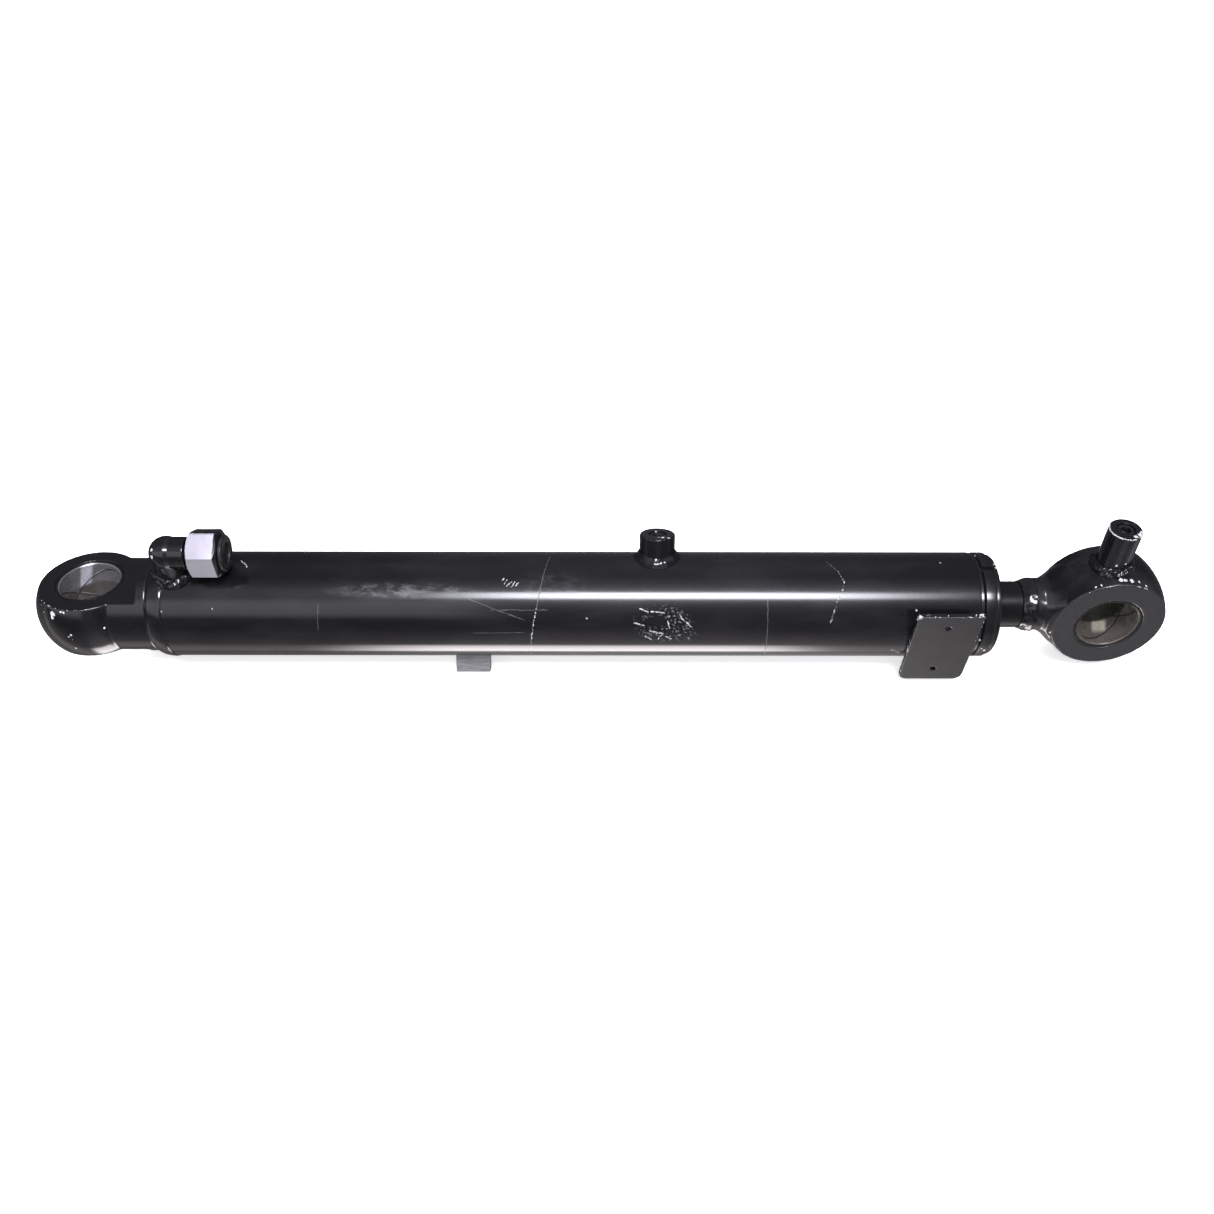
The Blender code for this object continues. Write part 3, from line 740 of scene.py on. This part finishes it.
def part_painted(name, edge_x):
    """Chrome, painted black beyond edge_x, which stays outside the head at rest."""
    g = Finish(name, CHROME, 0.08, 1.0)
    split = g.node("ShaderNodeSeparateXYZ")
    g.tree.links.new(g.place, split.inputs[0])
    ragged = g.times(g.minus(g.noise(3, 3), 0.5), 1.2 * MM)
    black = g.smooth(g.plus(split.outputs["X"], ragged), (edge_x - 0.2) * MM, (edge_x + 0.2) * MM)
    swirl = g.noise(1.0, 3, (0.3, 3, 3))
    oil = g.smooth(g.noise(26, 4), 0.45, 0.75)
    return g.finish(colour=g.mix(black, CHROME, BLACK), metallic=g.minus(1.0, black),
                    roughness=g.blend(black, g.blend(oil, 0.07, 0.13), 0.17), normal=g.bump(swirl, 0.002))


ROD_FACING = place(PIN_SPACING, ROD_EYE_CLOCK)
PLATE_FRAME = (
    place(PLATE_X, PLATE_CLOCK, BARREL_R + GAP + PLATE_THICK / 2)
    @ Matrix.Translation((0, PLATE_SHIFT * MM, 0)) @ Matrix.Rotation(math.pi, 4, "Z")
)
BASE_SPOTS = [
    ((-18, -39.5, 20), 2.4), ((-18.5, -40.5, 17), 1.7), ((-7.5, -41.4, 23), 1.1), ((-10, -40.8, 23), 1.0),
    ((-4.7, -47.4, 3.8), 1.0), ((-7, -47, 2), 0.9), ((-4.5, -47, -1), 0.8), ((-5.8, -46.1, -11.7), 0.9),
    ((-3, -46, -10), 0.8), ((22, -42, 7), 0.9), ((-31, -30, 22), 0.8), ((-28, -35, 18), 0.7),
]
ROD_EYE_SPOTS = [
    ((865.5, -24.7, 45.6), 1.9), ((869, -25, 45.3), 1.6), ((874.6, -25.3, 45), 1.8),
    ((846, -26.5, 39.4), 0.9), ((850, -26.5, 41.5), 0.9), ((881, -25, 43.8), 1.1),
    ((887, -26.6, 40.8), 1.0), ((821.8, -22.3, -12.7), 1.1),
]
WELD_PAINT = paint("gloss_black_weld", roughness=0.1, peel=0.03)
# Painted highlights: the two pale spots on the elbow's knee.
ELBOW_PAINT = paint("gloss_black_elbow", roughness=0.1, peel=0.02, marks=lambda g: (g.both(
    spot(g, (72, -22.8, 73.5), 1.5), spot(g, (72.2, -26.1, 68.9), 1.6)), FAINT_FILM))
BASE_PAINT = paint("gloss_black_base_eye", roughness=0.14, peel=0.02,
                   marks=eye_marks(Matrix(), BASE_FACE_R, (-22, 40), BASE_SPOTS))
ROD_EYE_PAINT = paint("gloss_black_rod_eye", roughness=0.16, dust=0.2, peel=0.03,
                      marks=eye_marks(ROD_FACING, ROD_FACE_R, (862, 32), ROD_EYE_SPOTS, film=0.25))
POST_PAINT = paint("gloss_black_post", roughness=0.12, marks=stub_marks(
    place(POST_X, POST_CLOCK), POST_TOP, POST_R,
    [((869, -18.5, 85), 1.7), ((873, -16, 85), 2.0), ((875.5, -13, 85.5), 1.6), ((861, -19.2, 56), 1.0),
     ((868, -18.9, 57.7), 0.9)]))
BOSS_PAINT = paint("gloss_black_boss", roughness=0.12, marks=stub_marks(
    place(BOSS_X, BOSS_CLOCK), BOSS_TOP, BOSS_R,
    [((483.1, 23.6, 59.2), 0.9), ((485, 9.5, 64.5), 1.2), ((488, 8, 64.2), 1.5), ((493, 7.1, 65), 1.2)], 0.5))
PLATE_PAINT = paint("satin_black_plate", roughness=0.17, dust=0.03, peel=0.004,
                    marks=plate_marks(PLATE_FRAME))
# Painted sheen: the tab is made pale grey all over, standing in for the light on its face, with brushed
# lines.
TAB_PAINT = paint("black_tab_painted_sheen", roughness=0.5, dust=1.0, marks=tab_brushing_and_sheen)
GLAND_PAINT = paint("gloss_black_gland", marks=lambda g: (g.both(
    spot(g, (761.2, -41.4, -16.6), 1.3), spot(g, (758, -42, -14), 1.1), spot(g, (755.5, 14.1, 41.3), 0.9),
    spot(g, (755.0, -42.4, -4.6), 1.1)), FAINT_FILM))
HEAD_PAINT = paint("gloss_black_head", marks=lambda g: (g.both(
    spot(g, (768.4, -4.3, 42.4), 1.2), spot(g, (768, 0, 43), 0.9)), FAINT_FILM))
TUBE_PAINT = paint("gloss_black_tube", roughness=0.15, dust=0.08, peel=0.01, marks=barrel_marks)
STEEL = steel("turned_steel", (0.45, 0.45, 0.46), 0.3, (1, 8, 8), 1.0)
PLUG_STEEL = steel("phosphated_steel", (0.1, 0.1, 0.11), 0.35)
RUBBER = plain("seal_rubber", (0.02, 0.02, 0.02), 0.5)
POLYURETHANE = plain("seal_polyurethane", (0.05, 0.16, 0.3), 0.4)
RESIN = plain("guide_resin", (0.35, 0.22, 0.1), 0.55)
PLASTIC = plain("plug_plastic", (0.006, 0.006, 0.007), 0.3)


# ---- the base end
def base_end():
    """The base eye with its neck, its bush, and its weld to the barrel."""
    neck = [(0, 0), (0, NECK_R), (56.5, NECK_R), (60.5, 37.2), (72, 37.2), (72, 0)]
    steps = [add(crowned_eye(BASE_FACE_R, BASE_CROWN_R, EYE_HALF + 3, Matrix()))]
    depth = 40.0
    for side in (1, -1):
        middle = Vector(((FLAT_END - 100) * MM, 0, side * (EYE_HALF + depth / 2) * MM))
        steps.append(cut(block((200, 120, depth), Matrix.Translation(middle))))
    steps.append(cut(cylinder(BUSH_R + GAP, 80, Matrix())))
    mesh = modified(lathe("base_eye", neck, soft=0), steps + forged(0.75, 3))
    piece("base_eye_forging", mesh, "barrel", "black_paint", BASE_PAINT, "base_eye")
    # The bush's bright band is a painted reflection and its dark lower bore is painted shade.
    finish = bush_finish("base_bush_steel", Matrix(), (2.3, 0.13, 40), 5,
                         ((0.62, 0.6, 0.68), (0.17, 0.165, 0.175), (0.08, 0.074, 0.07)))
    eye_bush("base_bush_sleeve", Matrix(), "barrel", "base_eye_bush", finish)

    def rolled(x, angle):
        return 0.25 * noise.noise(Vector((x * 0.5, math.sin(angle) * 6, math.cos(angle) * 6)))

    bead = [(56.8, 41.3), (59.5, 43.3), (63.0, 44.7), (66.5, 45.5), (69.5, 45.7), (71.6, 45.4),
            (71.0, 45.2), (66.0, 40.3), (66.0, 37.5), (60.8, 37.5)]
    mesh = lathe("base_weld", bead, uneven=rolled)
    piece("base_weld_bead", mesh, "barrel", "black_paint", WELD_PAINT, "base_weld")


def eye_bush(name, axis_frame, body, node, finish):
    """A bush bored for the pin, with a chamfer at each end."""
    half, chamfer = EYE_HALF - 0.5, 1.2
    outline = [
        (-half + chamfer, PIN_R), (-half, PIN_R + chamfer), (-half, BUSH_R),
        (half, BUSH_R), (half, PIN_R + chamfer), (half - chamfer, PIN_R),
    ]
    mesh = moved(lathe(name, outline, steps=192, soft=0.15), axis_frame @ ALONG_X.inverted())
    piece(name, mesh, body, "bush_steel", finish, node, crease=35)


def tube_wall():
    """The barrel, with a hole under the elbow and a counterbore for the gland."""
    outline = [
        (BARREL_START, BARREL_BORE_R), (BARREL_START, 40.0), (71.3, BARREL_R),
        (BARREL_END - 0.8, BARREL_R), (BARREL_END, BARREL_R - 0.8), (BARREL_END, BARREL_SEAT_R),
        (GLAND_START - GAP, BARREL_SEAT_R), (GLAND_START - 2.5, BARREL_BORE_R),
    ]
    port = cylinder(6.0, 30, place(PORT_X, PORT_CLOCK, BARREL_R))
    mesh = modified(lathe("barrel_tube", outline, steps=256, soft=0.6), [cut(port)])
    piece("barrel_wall", mesh, "barrel", "black_paint", TUBE_PAINT, "barrel_tube", crease=40)


# ---- welds round a stub
def on_tube(radius):
    """The height of a tube's wall over its own axis, which lies along X."""
    return lambda x, y: math.sqrt((radius + GAP) ** 2 - y**2)


def on_rod_eye(x, y):
    """The height of the rod eye's rim over the eye's own axis, beside the post."""
    rim = crown_radius(ROD_FACE_R, ROD_CROWN_R, y) + GAP
    return math.sqrt(rim**2 - (x - (PIN_SPACING - POST_X)) ** 2)


def saddle_weld(name, stub_r, wall, leg, frame, node, body, swell=0.42, lumps=0.3, hollow=False):
    """A lumpy bead round a stub that stands on a wall, whose height is wall(x, y)."""
    turns, rows = 160, 10
    root = stub_r + GAP

    def build(shape):
        rings = []
        for turn in range(turns):
            angle = FULL_TURN * turn / turns
            along, across = math.cos(angle), math.sin(angle)
            ring = []
            for row in range(rows + 1):
                t = row / rows
                out = root + leg * (1 - t)
                up = leg * t
                bow = math.sin(math.pi * t) * leg * swell * (-0.35 if hollow else 0.5)
                lump = noise.noise(Vector((along * 3.1, across * 3.1, t * 1.2 + leg)))
                lump += 0.5 * noise.noise(Vector((along * 7.3, across * 7.3, t * 2.0)))
                bow += math.sin(math.pi * t) * lumps * leg * lump
                r, lift = out + bow * 0.7, up + bow * 0.7
                x, y = r * along, r * across
                ring.append(shape.verts.new((x * MM, y * MM, (wall(x, y) + lift) * MM)))
            x, y = root * along, root * across
            ring.append(shape.verts.new((x * MM, y * MM, wall(x, y) * MM)))
            rings.append(ring)
        for ring, after in zip(rings, rings[1:] + rings[:1]):
            join_rings(shape, ring, after)

    piece(name, moved(mesh_of(name, build), frame), body, "black_paint", WELD_PAINT, node, crease=60)


# ---- the port by the base
def base_port():
    """The elbow and its weld, and the swivel nut with its cap."""
    axis = place(0, PORT_CLOCK, PORT_AXIS_R)
    stub = place(PORT_X, PORT_CLOCK)
    arm = [
        (PORT_X - 2.1, 0), (PORT_X - 2.1, STUB_R - 0.4), (NUT[0] - 3.5, STUB_R - 0.4), (NUT[0] - 3.5, 10.0),
        (112.0, 10.0), (112.0, 12.6), (116.0, 12.6), (117.5, 11.2), (117.5, 0),
    ]
    tilted = place(PORT_X, PORT_CLOCK, PORT_AXIS_R) @ Matrix.Rotation(0.3, 4, (1, 1, 0))
    post = cylinder(STUB_R, 32, place(PORT_X, PORT_CLOCK, PORT_AXIS_R - 15.3))
    mesh = modified(post, [
        cut(cylinder(PORT_SEAT_R + GAP, 120, place(PORT_X) @ ALONG_X, 192)),
        add(moved(lathe("port_elbow", arm, soft=0), axis)),
        add(ball(KNEE_R, tilted)),
        cut(cylinder(6.0, 40, place(PORT_X, PORT_CLOCK, PORT_AXIS_R - 20))),
        cut(cylinder(5.8, 60, place(PORT_X + 30.7, PORT_CLOCK, PORT_AXIS_R) @ ALONG_X)),
        *forged(0.45, 8),
    ])
    piece("elbow_forging", mesh, "barrel", "black_paint", ELBOW_PAINT, "port_elbow")
    saddle_weld("elbow_weld_bead", STUB_R, on_tube(PORT_SEAT_R), 4.6, stub, "elbow_weld", "barrel", lumps=0.5)

    start, end = NUT
    chamfered = [
        (start, 0), (start, 17.4), (start + 2.0, 21.2), (end - 3.0, 21.2), (end, 17.0), (end, 0),
    ]
    around = axis @ place((start + end) / 2, NUT_CORNER_CLOCK - PORT_CLOCK + 30) @ ALONG_X
    bore = [
        (start - 2, 0), (start - 2, 10.4), (108.0, 10.4), (108.0, 13.3), (end + 2, 13.3), (end + 2, 0),
    ]
    mesh = modified(moved(lathe("union_nut", chamfered, soft=0), axis), [
        keep(cylinder(NUT_FLATS / math.sqrt(3), 40, around, 6)),
        cut(moved(lathe("tool", bore, steps=96, soft=0), axis)),
        edges(0.35, 2, 25),
    ])
    piece("union_nut_zinc", mesh, "port_nut", "zinc_plate", nut_finish(), "union_nut", crease=25)
    cap = [
        (118.5, 0), (118.5, 12.9), (end + GAP, 12.9), (end + GAP, 15.2),
        (end + 2.6, 15.2), (end + 3.4, 14.4), (end + 3.4, 9.0), (end + 1.5, 8.4),
        (end + 1.5, 5.0), (end + 2.1, 4.6), (end + 2.1, 3.4), (end + 1.5, 3.0), (end + 1.5, 0),
    ]
    mesh = moved(lathe("port_plug", cap, steps=128, soft=0.3), axis)
    piece("port_cap", mesh, "port_nut", "plug_plastic", PLASTIC, "port_plug", crease=40)


# ---- bosses, tab and plate
def threaded_stub(name, outline, saddle, frame, body, node, finish):
    """A turned port stub, cut to sit on what it is welded to."""
    upright = frame @ ALONG_X.inverted()
    mesh = modified(moved(lathe(name, outline, soft=0.5), upright), [cut(saddle)])
    piece(name, mesh, body, "black_paint", finish, node, crease=35)


def port_plug(name, bottom, top, frame, body, node):
    """A screw plug with a hexagon socket."""
    radius, edge = PORT_THREAD_R - GAP, 0.6
    outline = [(bottom, 0), (bottom, radius), (top - edge, radius), (top, radius - edge), (top, 0)]
    socket = cylinder(4.6, 10, frame @ Matrix.Translation((0, 0, top * MM)), 6)
    mesh = moved(lathe(name, outline, steps=96, soft=0.2), frame @ ALONG_X.inverted())
    mesh = modified(mesh, [cut(socket), edges(0.15, 2, 40)])
    piece(name, mesh, body, "turned_steel", PLUG_STEEL, node, crease=35)


def middle_boss():
    """The port at mid-length, with its weld and its plug."""
    frame = place(BOSS_X, BOSS_CLOCK)
    edge = 0.8
    outline = [
        (40, 0), (40, BOSS_R), (BOSS_TOP - edge, BOSS_R), (BOSS_TOP, BOSS_R - edge),
        (BOSS_TOP, PORT_THREAD_R), (51.5, PORT_THREAD_R), (51.5, 0),
    ]
    saddle = cylinder(BARREL_R + GAP, 100, place(BOSS_X) @ ALONG_X, 192)
    threaded_stub("boss_stub", outline, saddle, frame, "barrel", "barrel_boss", BOSS_PAINT)
    saddle_weld("boss_weld_bead", BOSS_R, on_tube(BARREL_R), 5.0, frame, "boss_weld", "barrel",
                lumps=0.14, hollow=True)
    port_plug("boss_screw_plug", 52.0, BOSS_TOP - 1.0, frame, "barrel", "boss_plug")


def clamp_tab():
    """The upright bar under the barrel."""
    middle = place(TAB_X, TAB_CLOCK, (TAB_TOP + TAB_SUNK) / 2)
    mesh = modified(block((*TAB_SIZE, TAB_TOP - TAB_SUNK), middle), [
        edges(0.8, 3),
        cut(cylinder(BARREL_R + GAP, 60, place(TAB_X) @ ALONG_X, 192)),
    ])
    piece("tab_bar", mesh, "barrel", "black_paint", TAB_PAINT, "clamp_tab", crease=12)


def bracket_plate():
    """The plate by the open end, with two corners rounded and two small holes."""
    half_x, half_y, corner, rows = PLATE_WIDTH / 2, PLATE_HEIGHT / 2, PLATE_CORNER_R, 12

    def build(shape):
        outline = [(-half_x, -half_y), (half_x, -half_y)]
        for arc_x, start in ((half_x - corner, 0), (corner - half_x, 90)):
            for row in range(rows + 1):
                angle = math.radians(start + 90 * row / rows)
                rise = corner * math.sin(angle)
                outline.append((arc_x + corner * math.cos(angle), half_y - corner + rise))
        face = shape.faces.new([shape.verts.new((x * MM, y * MM, -PLATE_THICK / 2 * MM)) for x, y in outline])
        made = bmesh.ops.extrude_face_region(shape, geom=[face])["geom"]
        raised = [item for item in made if isinstance(item, bmesh.types.BMVert)]
        bmesh.ops.translate(shape, vec=(0, 0, PLATE_THICK * MM), verts=raised)

    steps = []
    for side in (1, -1):
        middle = Matrix.Translation((0, side * PLATE_HOLE_SPACING / 2 * MM, 0))
        steps.append(cut(cylinder(PLATE_HOLE_R, 20, middle, 48)))
    mesh = moved(modified(mesh_of("bracket_plate", build), [*steps, edges(0.5, 3)]), PLATE_FRAME)
    piece("bracket_panel", mesh, "barrel", "black_paint", PLATE_PAINT, "bracket_plate", crease=12)


# ---- the open end
def gland_ring():
    """The ring that closes the barrel, with its grooves and two spanner notches."""
    outer, bore, mouth = BARREL_SEAT_R - GAP, SLEEVE_R + 0.4, SLEEVE_R + 1.8
    guide, seal, wiper, o_ring = (711.0, 727.0), (735.0, 743.0), (757.0, 763.0), (746.0, 750.0)
    outline = [
        (GLAND_START, bore), (GLAND_START, outer),
        (o_ring[0], outer), (o_ring[0], 37.2), (o_ring[1], 37.2), (o_ring[1], outer),
        (BARREL_END + GAP, outer), (BARREL_END + GAP, 42.6), (FLANGE_START - 0.4, 42.6),
        (FLANGE_START + 0.9, BARREL_R), (FLANGE_END - 0.9, BARREL_R), (FLANGE_END, BARREL_R - 0.9),
        (FLANGE_END, mouth),
        (wiper[1], mouth), (wiper[1], 34.0), (wiper[0], 34.0), (wiper[0], bore),
        (seal[1], bore), (seal[1], 35.0), (seal[0], 35.0), (seal[0], bore),
        (guide[1], bore), (guide[1], 32.8), (guide[0], 32.8), (guide[0], bore),
    ]
    steps = []
    notch_frame = place((FLANGE_START + FLANGE_END) / 2, -10.0, BARREL_R)
    for turn in (0, 180):
        steps.append(cut(block((20, 4.5, 5), Matrix.Rotation(math.radians(turn), 4, "X") @ notch_frame)))
    mesh = modified(lathe("barrel_gland", outline, steps=192, soft=0.3), steps)
    piece("gland_collar", mesh, "barrel", "black_paint", GLAND_PAINT, "barrel_gland", crease=35)


def sleeve_stage():
    """The moving stage: its tube, and the head that the rod slides in."""
    outline = [
        (96.0, 25.0), (96.0, SLEEVE_R), (764.5, SLEEVE_R),
        (764.5, SLEEVE_SEAT_R), (716.0, SLEEVE_SEAT_R), (714.3, 25.0),
    ]
    hole = cylinder(2.5, 80, place(190.0), 32)
    mesh = modified(lathe("sleeve_tube", outline, steps=192, soft=0.3), [cut(hole)])
    piece("sleeve_wall", mesh, "sleeve", "chrome", part_painted("sleeve_chrome", FLANGE_END), "sleeve_tube",
          crease=35)
    outer, bore, mouth = SLEEVE_SEAT_R - GAP, ROD_R + 0.4, ROD_R + 1.8
    start = 716.3
    guide, seal, wiper, o_ring = (721.0, 735.0), (745.0, 752.0), (761.0, 767.0), (738.0, 741.5)
    outline = [
        (start, bore), (start, outer),
        (o_ring[0], outer), (o_ring[0], 24.6), (o_ring[1], 24.6), (o_ring[1], outer),
        (FLANGE_END + 0.4, outer), (FLANGE_END + 0.4, HEAD_FLANGE_R),
        (HEAD_END - 1.2, HEAD_FLANGE_R), (HEAD_END, HEAD_FLANGE_R - 1.2), (HEAD_END, mouth),
        (wiper[1], mouth), (wiper[1], 24.0), (wiper[0], 24.0), (wiper[0], bore),
        (seal[1], bore), (seal[1], 24.2), (seal[0], 24.2), (seal[0], bore),
        (guide[1], bore), (guide[1], 22.4), (guide[0], 22.4), (guide[0], bore),
    ]
    mesh = lathe("sleeve_head", outline, steps=192, soft=0.4)
    piece("head_collar", mesh, "sleeve", "black_paint", HEAD_PAINT, "sleeve_head", crease=35)


def rod_bar():
    """The rod, with the oil way from its end to its side."""
    outline = [
        (90.5, 0), (90.5, 12.0), (138.3, 12.0), (138.3, ROD_R),
        (ROD_END - 5.4, ROD_R), (ROD_END, ROD_R - 4.6), (ROD_END, 5.0), (198.0, 5.0), (198.0, 0),
    ]
    mesh = modified(lathe("rod", outline, steps=160, soft=0.3), [cut(cylinder(3.0, 60, place(204.0), 32))])
    piece("rod_bar", mesh, "rod", "chrome", part_painted("rod_chrome", HEAD_END - 1.0), "rod", crease=35)


def rod_end():
    """The rod eye with its neck, bush and weld, and the port post on its rim."""
    neck_start = ROD_END + GAP
    neck = [
        (neck_start, 0), (neck_start, 16.0), (807.0, 22.3), (814.0, 22.7), (819.0, 25.5),
        (825.0, 31.0), (832.0, 37.0), (838.0, 40.0), (838.0, 0),
    ]
    steps = []
    depth, relief = 20.0, 1.5
    for side in (1, -1):
        beside = place(830, ROD_EYE_CLOCK, side * (EYE_HALF - relief + depth / 2))
        steps.append(cut(block((24, 90, depth), beside)))
    slope = Vector((0.663, 0, 0.749))
    lean = slope.to_track_quat("Z", "Y").to_matrix().to_4x4()
    steps += [
        add(crowned_eye(ROD_FACE_R, ROD_CROWN_R, EYE_HALF, ROD_FACING)),
        cut(cylinder(BUSH_R + GAP, 80, ROD_FACING)),
        cut(cylinder(5.0, 30, place(neck_start + 12) @ ALONG_X)),
        cut(cylinder(4.0, 76, place(841, POST_CLOCK, 26) @ lean)),
        *forged(0.75, 3),
    ]

    def lumpy(x, angle):
        where = Vector((x * 0.22, math.sin(angle) * 2.4, math.cos(angle) * 2.4))
        return 1.3 * noise.noise(where) if 806 < x < 826 else 0

    mesh = modified(lathe("rod_eye", neck, soft=0, uneven=lumpy), steps)
    piece("rod_eye_forging", mesh, "rod", "black_paint", ROD_EYE_PAINT, "rod_eye")
    # The bush's bright band is a painted reflection and its dark lower bore is painted shade.
    finish = bush_finish("rod_bush_steel", ROD_FACING, (-1.3, 0.17, 9), -3,
                         ((0.55, 0.5, 0.4), (0.14, 0.125, 0.11), (0.028, 0.027, 0.018)))
    eye_bush("rod_bush_sleeve", ROD_FACING, "rod", "rod_eye_bush", finish)

    def rippled(x, angle):
        where = Vector((x * 0.35, math.sin(angle) * 3, math.cos(angle) * 3))
        finer = noise.noise(where * 2.3)
        return 1.5 * noise.noise(where) + 0.7 * finer if 797 < x < 807 else 0

    bead = [
        (795.6, 20.4), (798.0, 21.2), (800.0, 21.9), (802.0, 22.4), (804.0, 22.8), (806.0, 23.0),
        (807.8, 22.9), (806.7, 22.8), (800.65, 16.3),
    ]
    mesh = lathe("rod_weld", bead, uneven=rippled)
    piece("rod_weld_bead", mesh, "rod", "black_paint", WELD_PAINT, "rod_weld")

    frame = place(POST_X, POST_CLOCK)
    edge = 0.8
    outline = [
        (44, 4.0), (44, POST_R), (POST_TOP - edge, POST_R), (POST_TOP, POST_R - edge),
        (POST_TOP, PORT_THREAD_R), (74, PORT_THREAD_R), (74, 4.0),
    ]
    saddle = crowned_eye(ROD_FACE_R + GAP, ROD_CROWN_R + GAP, EYE_HALF, ROD_FACING)
    threaded_stub("post_stub", outline, saddle, frame, "rod", "rod_port_post", POST_PAINT)
    saddle_weld("post_weld_bead", POST_R, on_rod_eye, 4.6, frame, "post_weld", "rod", lumps=0.6)
    port_plug("post_screw_plug", 74.5, POST_TOP - 1.0, frame, "rod", "post_plug")


def inner_pieces():
    """The CAD's own solids stay inside, with their finishes."""
    finishes = {
        "turned_steel": STEEL, "seal_rubber": RUBBER,
        "seal_polyurethane": POLYURETHANE, "guide_resin": RESIN,
    }
    for part in frame["record"]["subparts"]:
        node = frame["nodes"][part["node"]]
        finish = finishes.get(part["material_slot"])
        if finish:
            node.data.materials.clear()
            node.data.materials.append(finish)


# ---- stage, light and camera
def camera():
    """Looks across the cylinder's middle, from the side that the base port is on."""
    towards, up = radial(CAMERA_CLOCK), radial(CAMERA_CLOCK + 90)
    data = bpy.data.cameras.new("camera")
    data.lens = CAMERA_LENS
    data.sensor_width = 36
    data.clip_start = 0.01
    obj = in_scene("camera", data)
    middle = Vector((CAMERA_X * MM, 0, 0)) - up * CAMERA_DROP * MM
    axes = Matrix((Vector((1, 0, 0)), up, towards)).transposed().to_4x4()
    roll = Matrix.Rotation(math.radians(CAMERA_ROLL), 4, "Z")
    obj.matrix_world = Matrix.Translation(middle + towards * CAMERA_DISTANCE * MM) @ axes @ roll
    bpy.context.scene.camera = obj


SURROUND = [
    (-180, 0.4), (-150, 0.8), (-131, 1.1), (-95, 1.2), (-83, 0.85), (-72, 0.65), (-61, 0.3), (-51, 0.22),
    (-41, 0.3), (-23, 0.35), (-14, 0.5), (-5, 0.9), (4, 1.8), (30, 2.2), (40, 1.2), (49, 0.8), (60, 0.45),
    (80, 0.5), (92, 0.45), (106, 0.33), (122, 0.22), (145, 0.2), (180, 0.4),
]

RAMP_TOP = 4.0
ROOM_SHARE = 0.75


def studio():
    """A dim room lit by one long softbox over the camera and a bright strip of floor under it.

    Each level goes with the angle, above or below the camera's own line, that its light comes from.
    It lights the object and shows in its gloss, but what the camera sees behind it is evenly pale.
    """
    world = bpy.data.worlds.new("studio")
    bpy.context.scene.world = world
    world.use_nodes = True
    g = Graph(world.node_tree)
    direction = g.node("ShaderNodeTexCoord").outputs["Generated"]
    towards, up = radial(CAMERA_CLOCK), radial(CAMERA_CLOCK + 90)
    front = g.along(direction, towards)
    high = g.along(direction, up)
    turn = g.times(g.math("ARCTAN2", high, front), 180 / math.pi)
    split = g.node("ShaderNodeSeparateXYZ")
    g.tree.links.new(direction, split.inputs[0])
    side = g.times(g.math("ARCSINE", split.outputs["X"]), 180 / math.pi)

    def band(middle, half, fade, level):
        away = g.size(g.minus(turn, middle))
        return g.times(g.smooth(away, half + fade, half), level)

    def window(left, right):
        return g.times(g.smooth(side, *left), g.smooth(side, *right))

    ramp = g.node("ShaderNodeValToRGB")
    share = g.plus(g.times(turn, 1 / 360), 0.5)
    g.tree.links.new(share, ramp.inputs[0])
    stops = ramp.color_ramp.elements
    stops.remove(stops[1])
    for angle, level in SURROUND:
        stop = stops.new(angle / 360 + 0.5) if angle > -180 else stops[0]
        stop.color = (*[level / RAMP_TOP] * 3, 1)
    room = g.times(ramp.outputs["Color"], RAMP_TOP * ROOM_SHARE)
    room = g.times(room, g.blend(window((-18, -2), (22, 9)), 0.4, 1.0))
    softbox = g.times(band(17, 4.2, 3.8, 36.0), window((-12.5, -2), (21, 12)))
    strip = g.times(band(-118, 9, 6, 8.5), g.both(window((-17, -8), (13, 7)), 0.05))
    haze = g.times(band(-12, 8, 18, 1.3), g.smooth(side, -5, -11))
    total = g.plus(g.plus(room, haze), g.plus(softbox, strip))
    tint = g.mix(g.smooth(turn, -60, -20), (1.05, 0.98, 1.0), (0.97, 0.975, 1.07))
    seen = g.node("ShaderNodeLightPath").outputs["Is Camera Ray"]
    total = g.plus(g.times(total, g.blend(seen, 1.0, 0.0)), seen)
    background = g.tree.nodes["Background"]
    g.tree.links.new(tint, background.inputs["Color"])
    g.tree.links.new(total, background.inputs["Strength"])


def lamp(name, spot, target, size, power):
    """A soft lamp that lights the object and the floor, and isn't itself seen or mirrored."""
    data = bpy.data.lights.new(name, "AREA")
    data.shape = "DISK"
    data.size = size
    data.energy = power
    obj = in_scene(name, data)
    obj.location = spot
    obj.rotation_euler = (Vector(target) - Vector(spot)).to_track_quat("-Z", "Y").to_euler()
    obj.visible_camera = False
    obj.visible_glossy = False


def floor():
    """A plain pale floor a millimetre under the object, giving off a little light of its own."""
    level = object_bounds()[0].z - 1.0 * MM

    def build(shape):
        bmesh.ops.create_grid(shape, x_segments=1, y_segments=1, size=6.0)
        bmesh.ops.translate(shape, vec=(0.44, 1.5, level), verts=shape.verts)

    g = Finish("pale_floor", (0.93, 0.93, 0.93), 0.7)
    tone = g.mix(g.noise(300, 2), (0.92, 0.92, 0.92), (0.95, 0.95, 0.95))
    obj = in_scene("floor", mesh_of("floor", build))
    g.shader.inputs["Emission Color"].default_value = (1, 1, 1, 1)
    g.shader.inputs["Emission Strength"].default_value = 0.62
    obj.data.materials.append(g.finish(colour=tone))
    obj.visible_glossy = False
    obj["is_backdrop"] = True


base_end()
tube_wall()
base_port()
middle_boss()
clamp_tab()
bracket_plate()
gland_ring()
sleeve_stage()
rod_bar()
rod_end()
inner_pieces()
camera()
studio()
floor()
middle_x = PIN_SPACING / 2 * MM
lamp("overhead", (middle_x, 0.2, 2.4), (middle_x, 0, 0), 3.0, 100)
lamp("fill", (middle_x, -2.0, 1.4), (middle_x, 0, 0), 2.0, 15)
bpy.context.scene.view_settings.view_transform = "Standard"
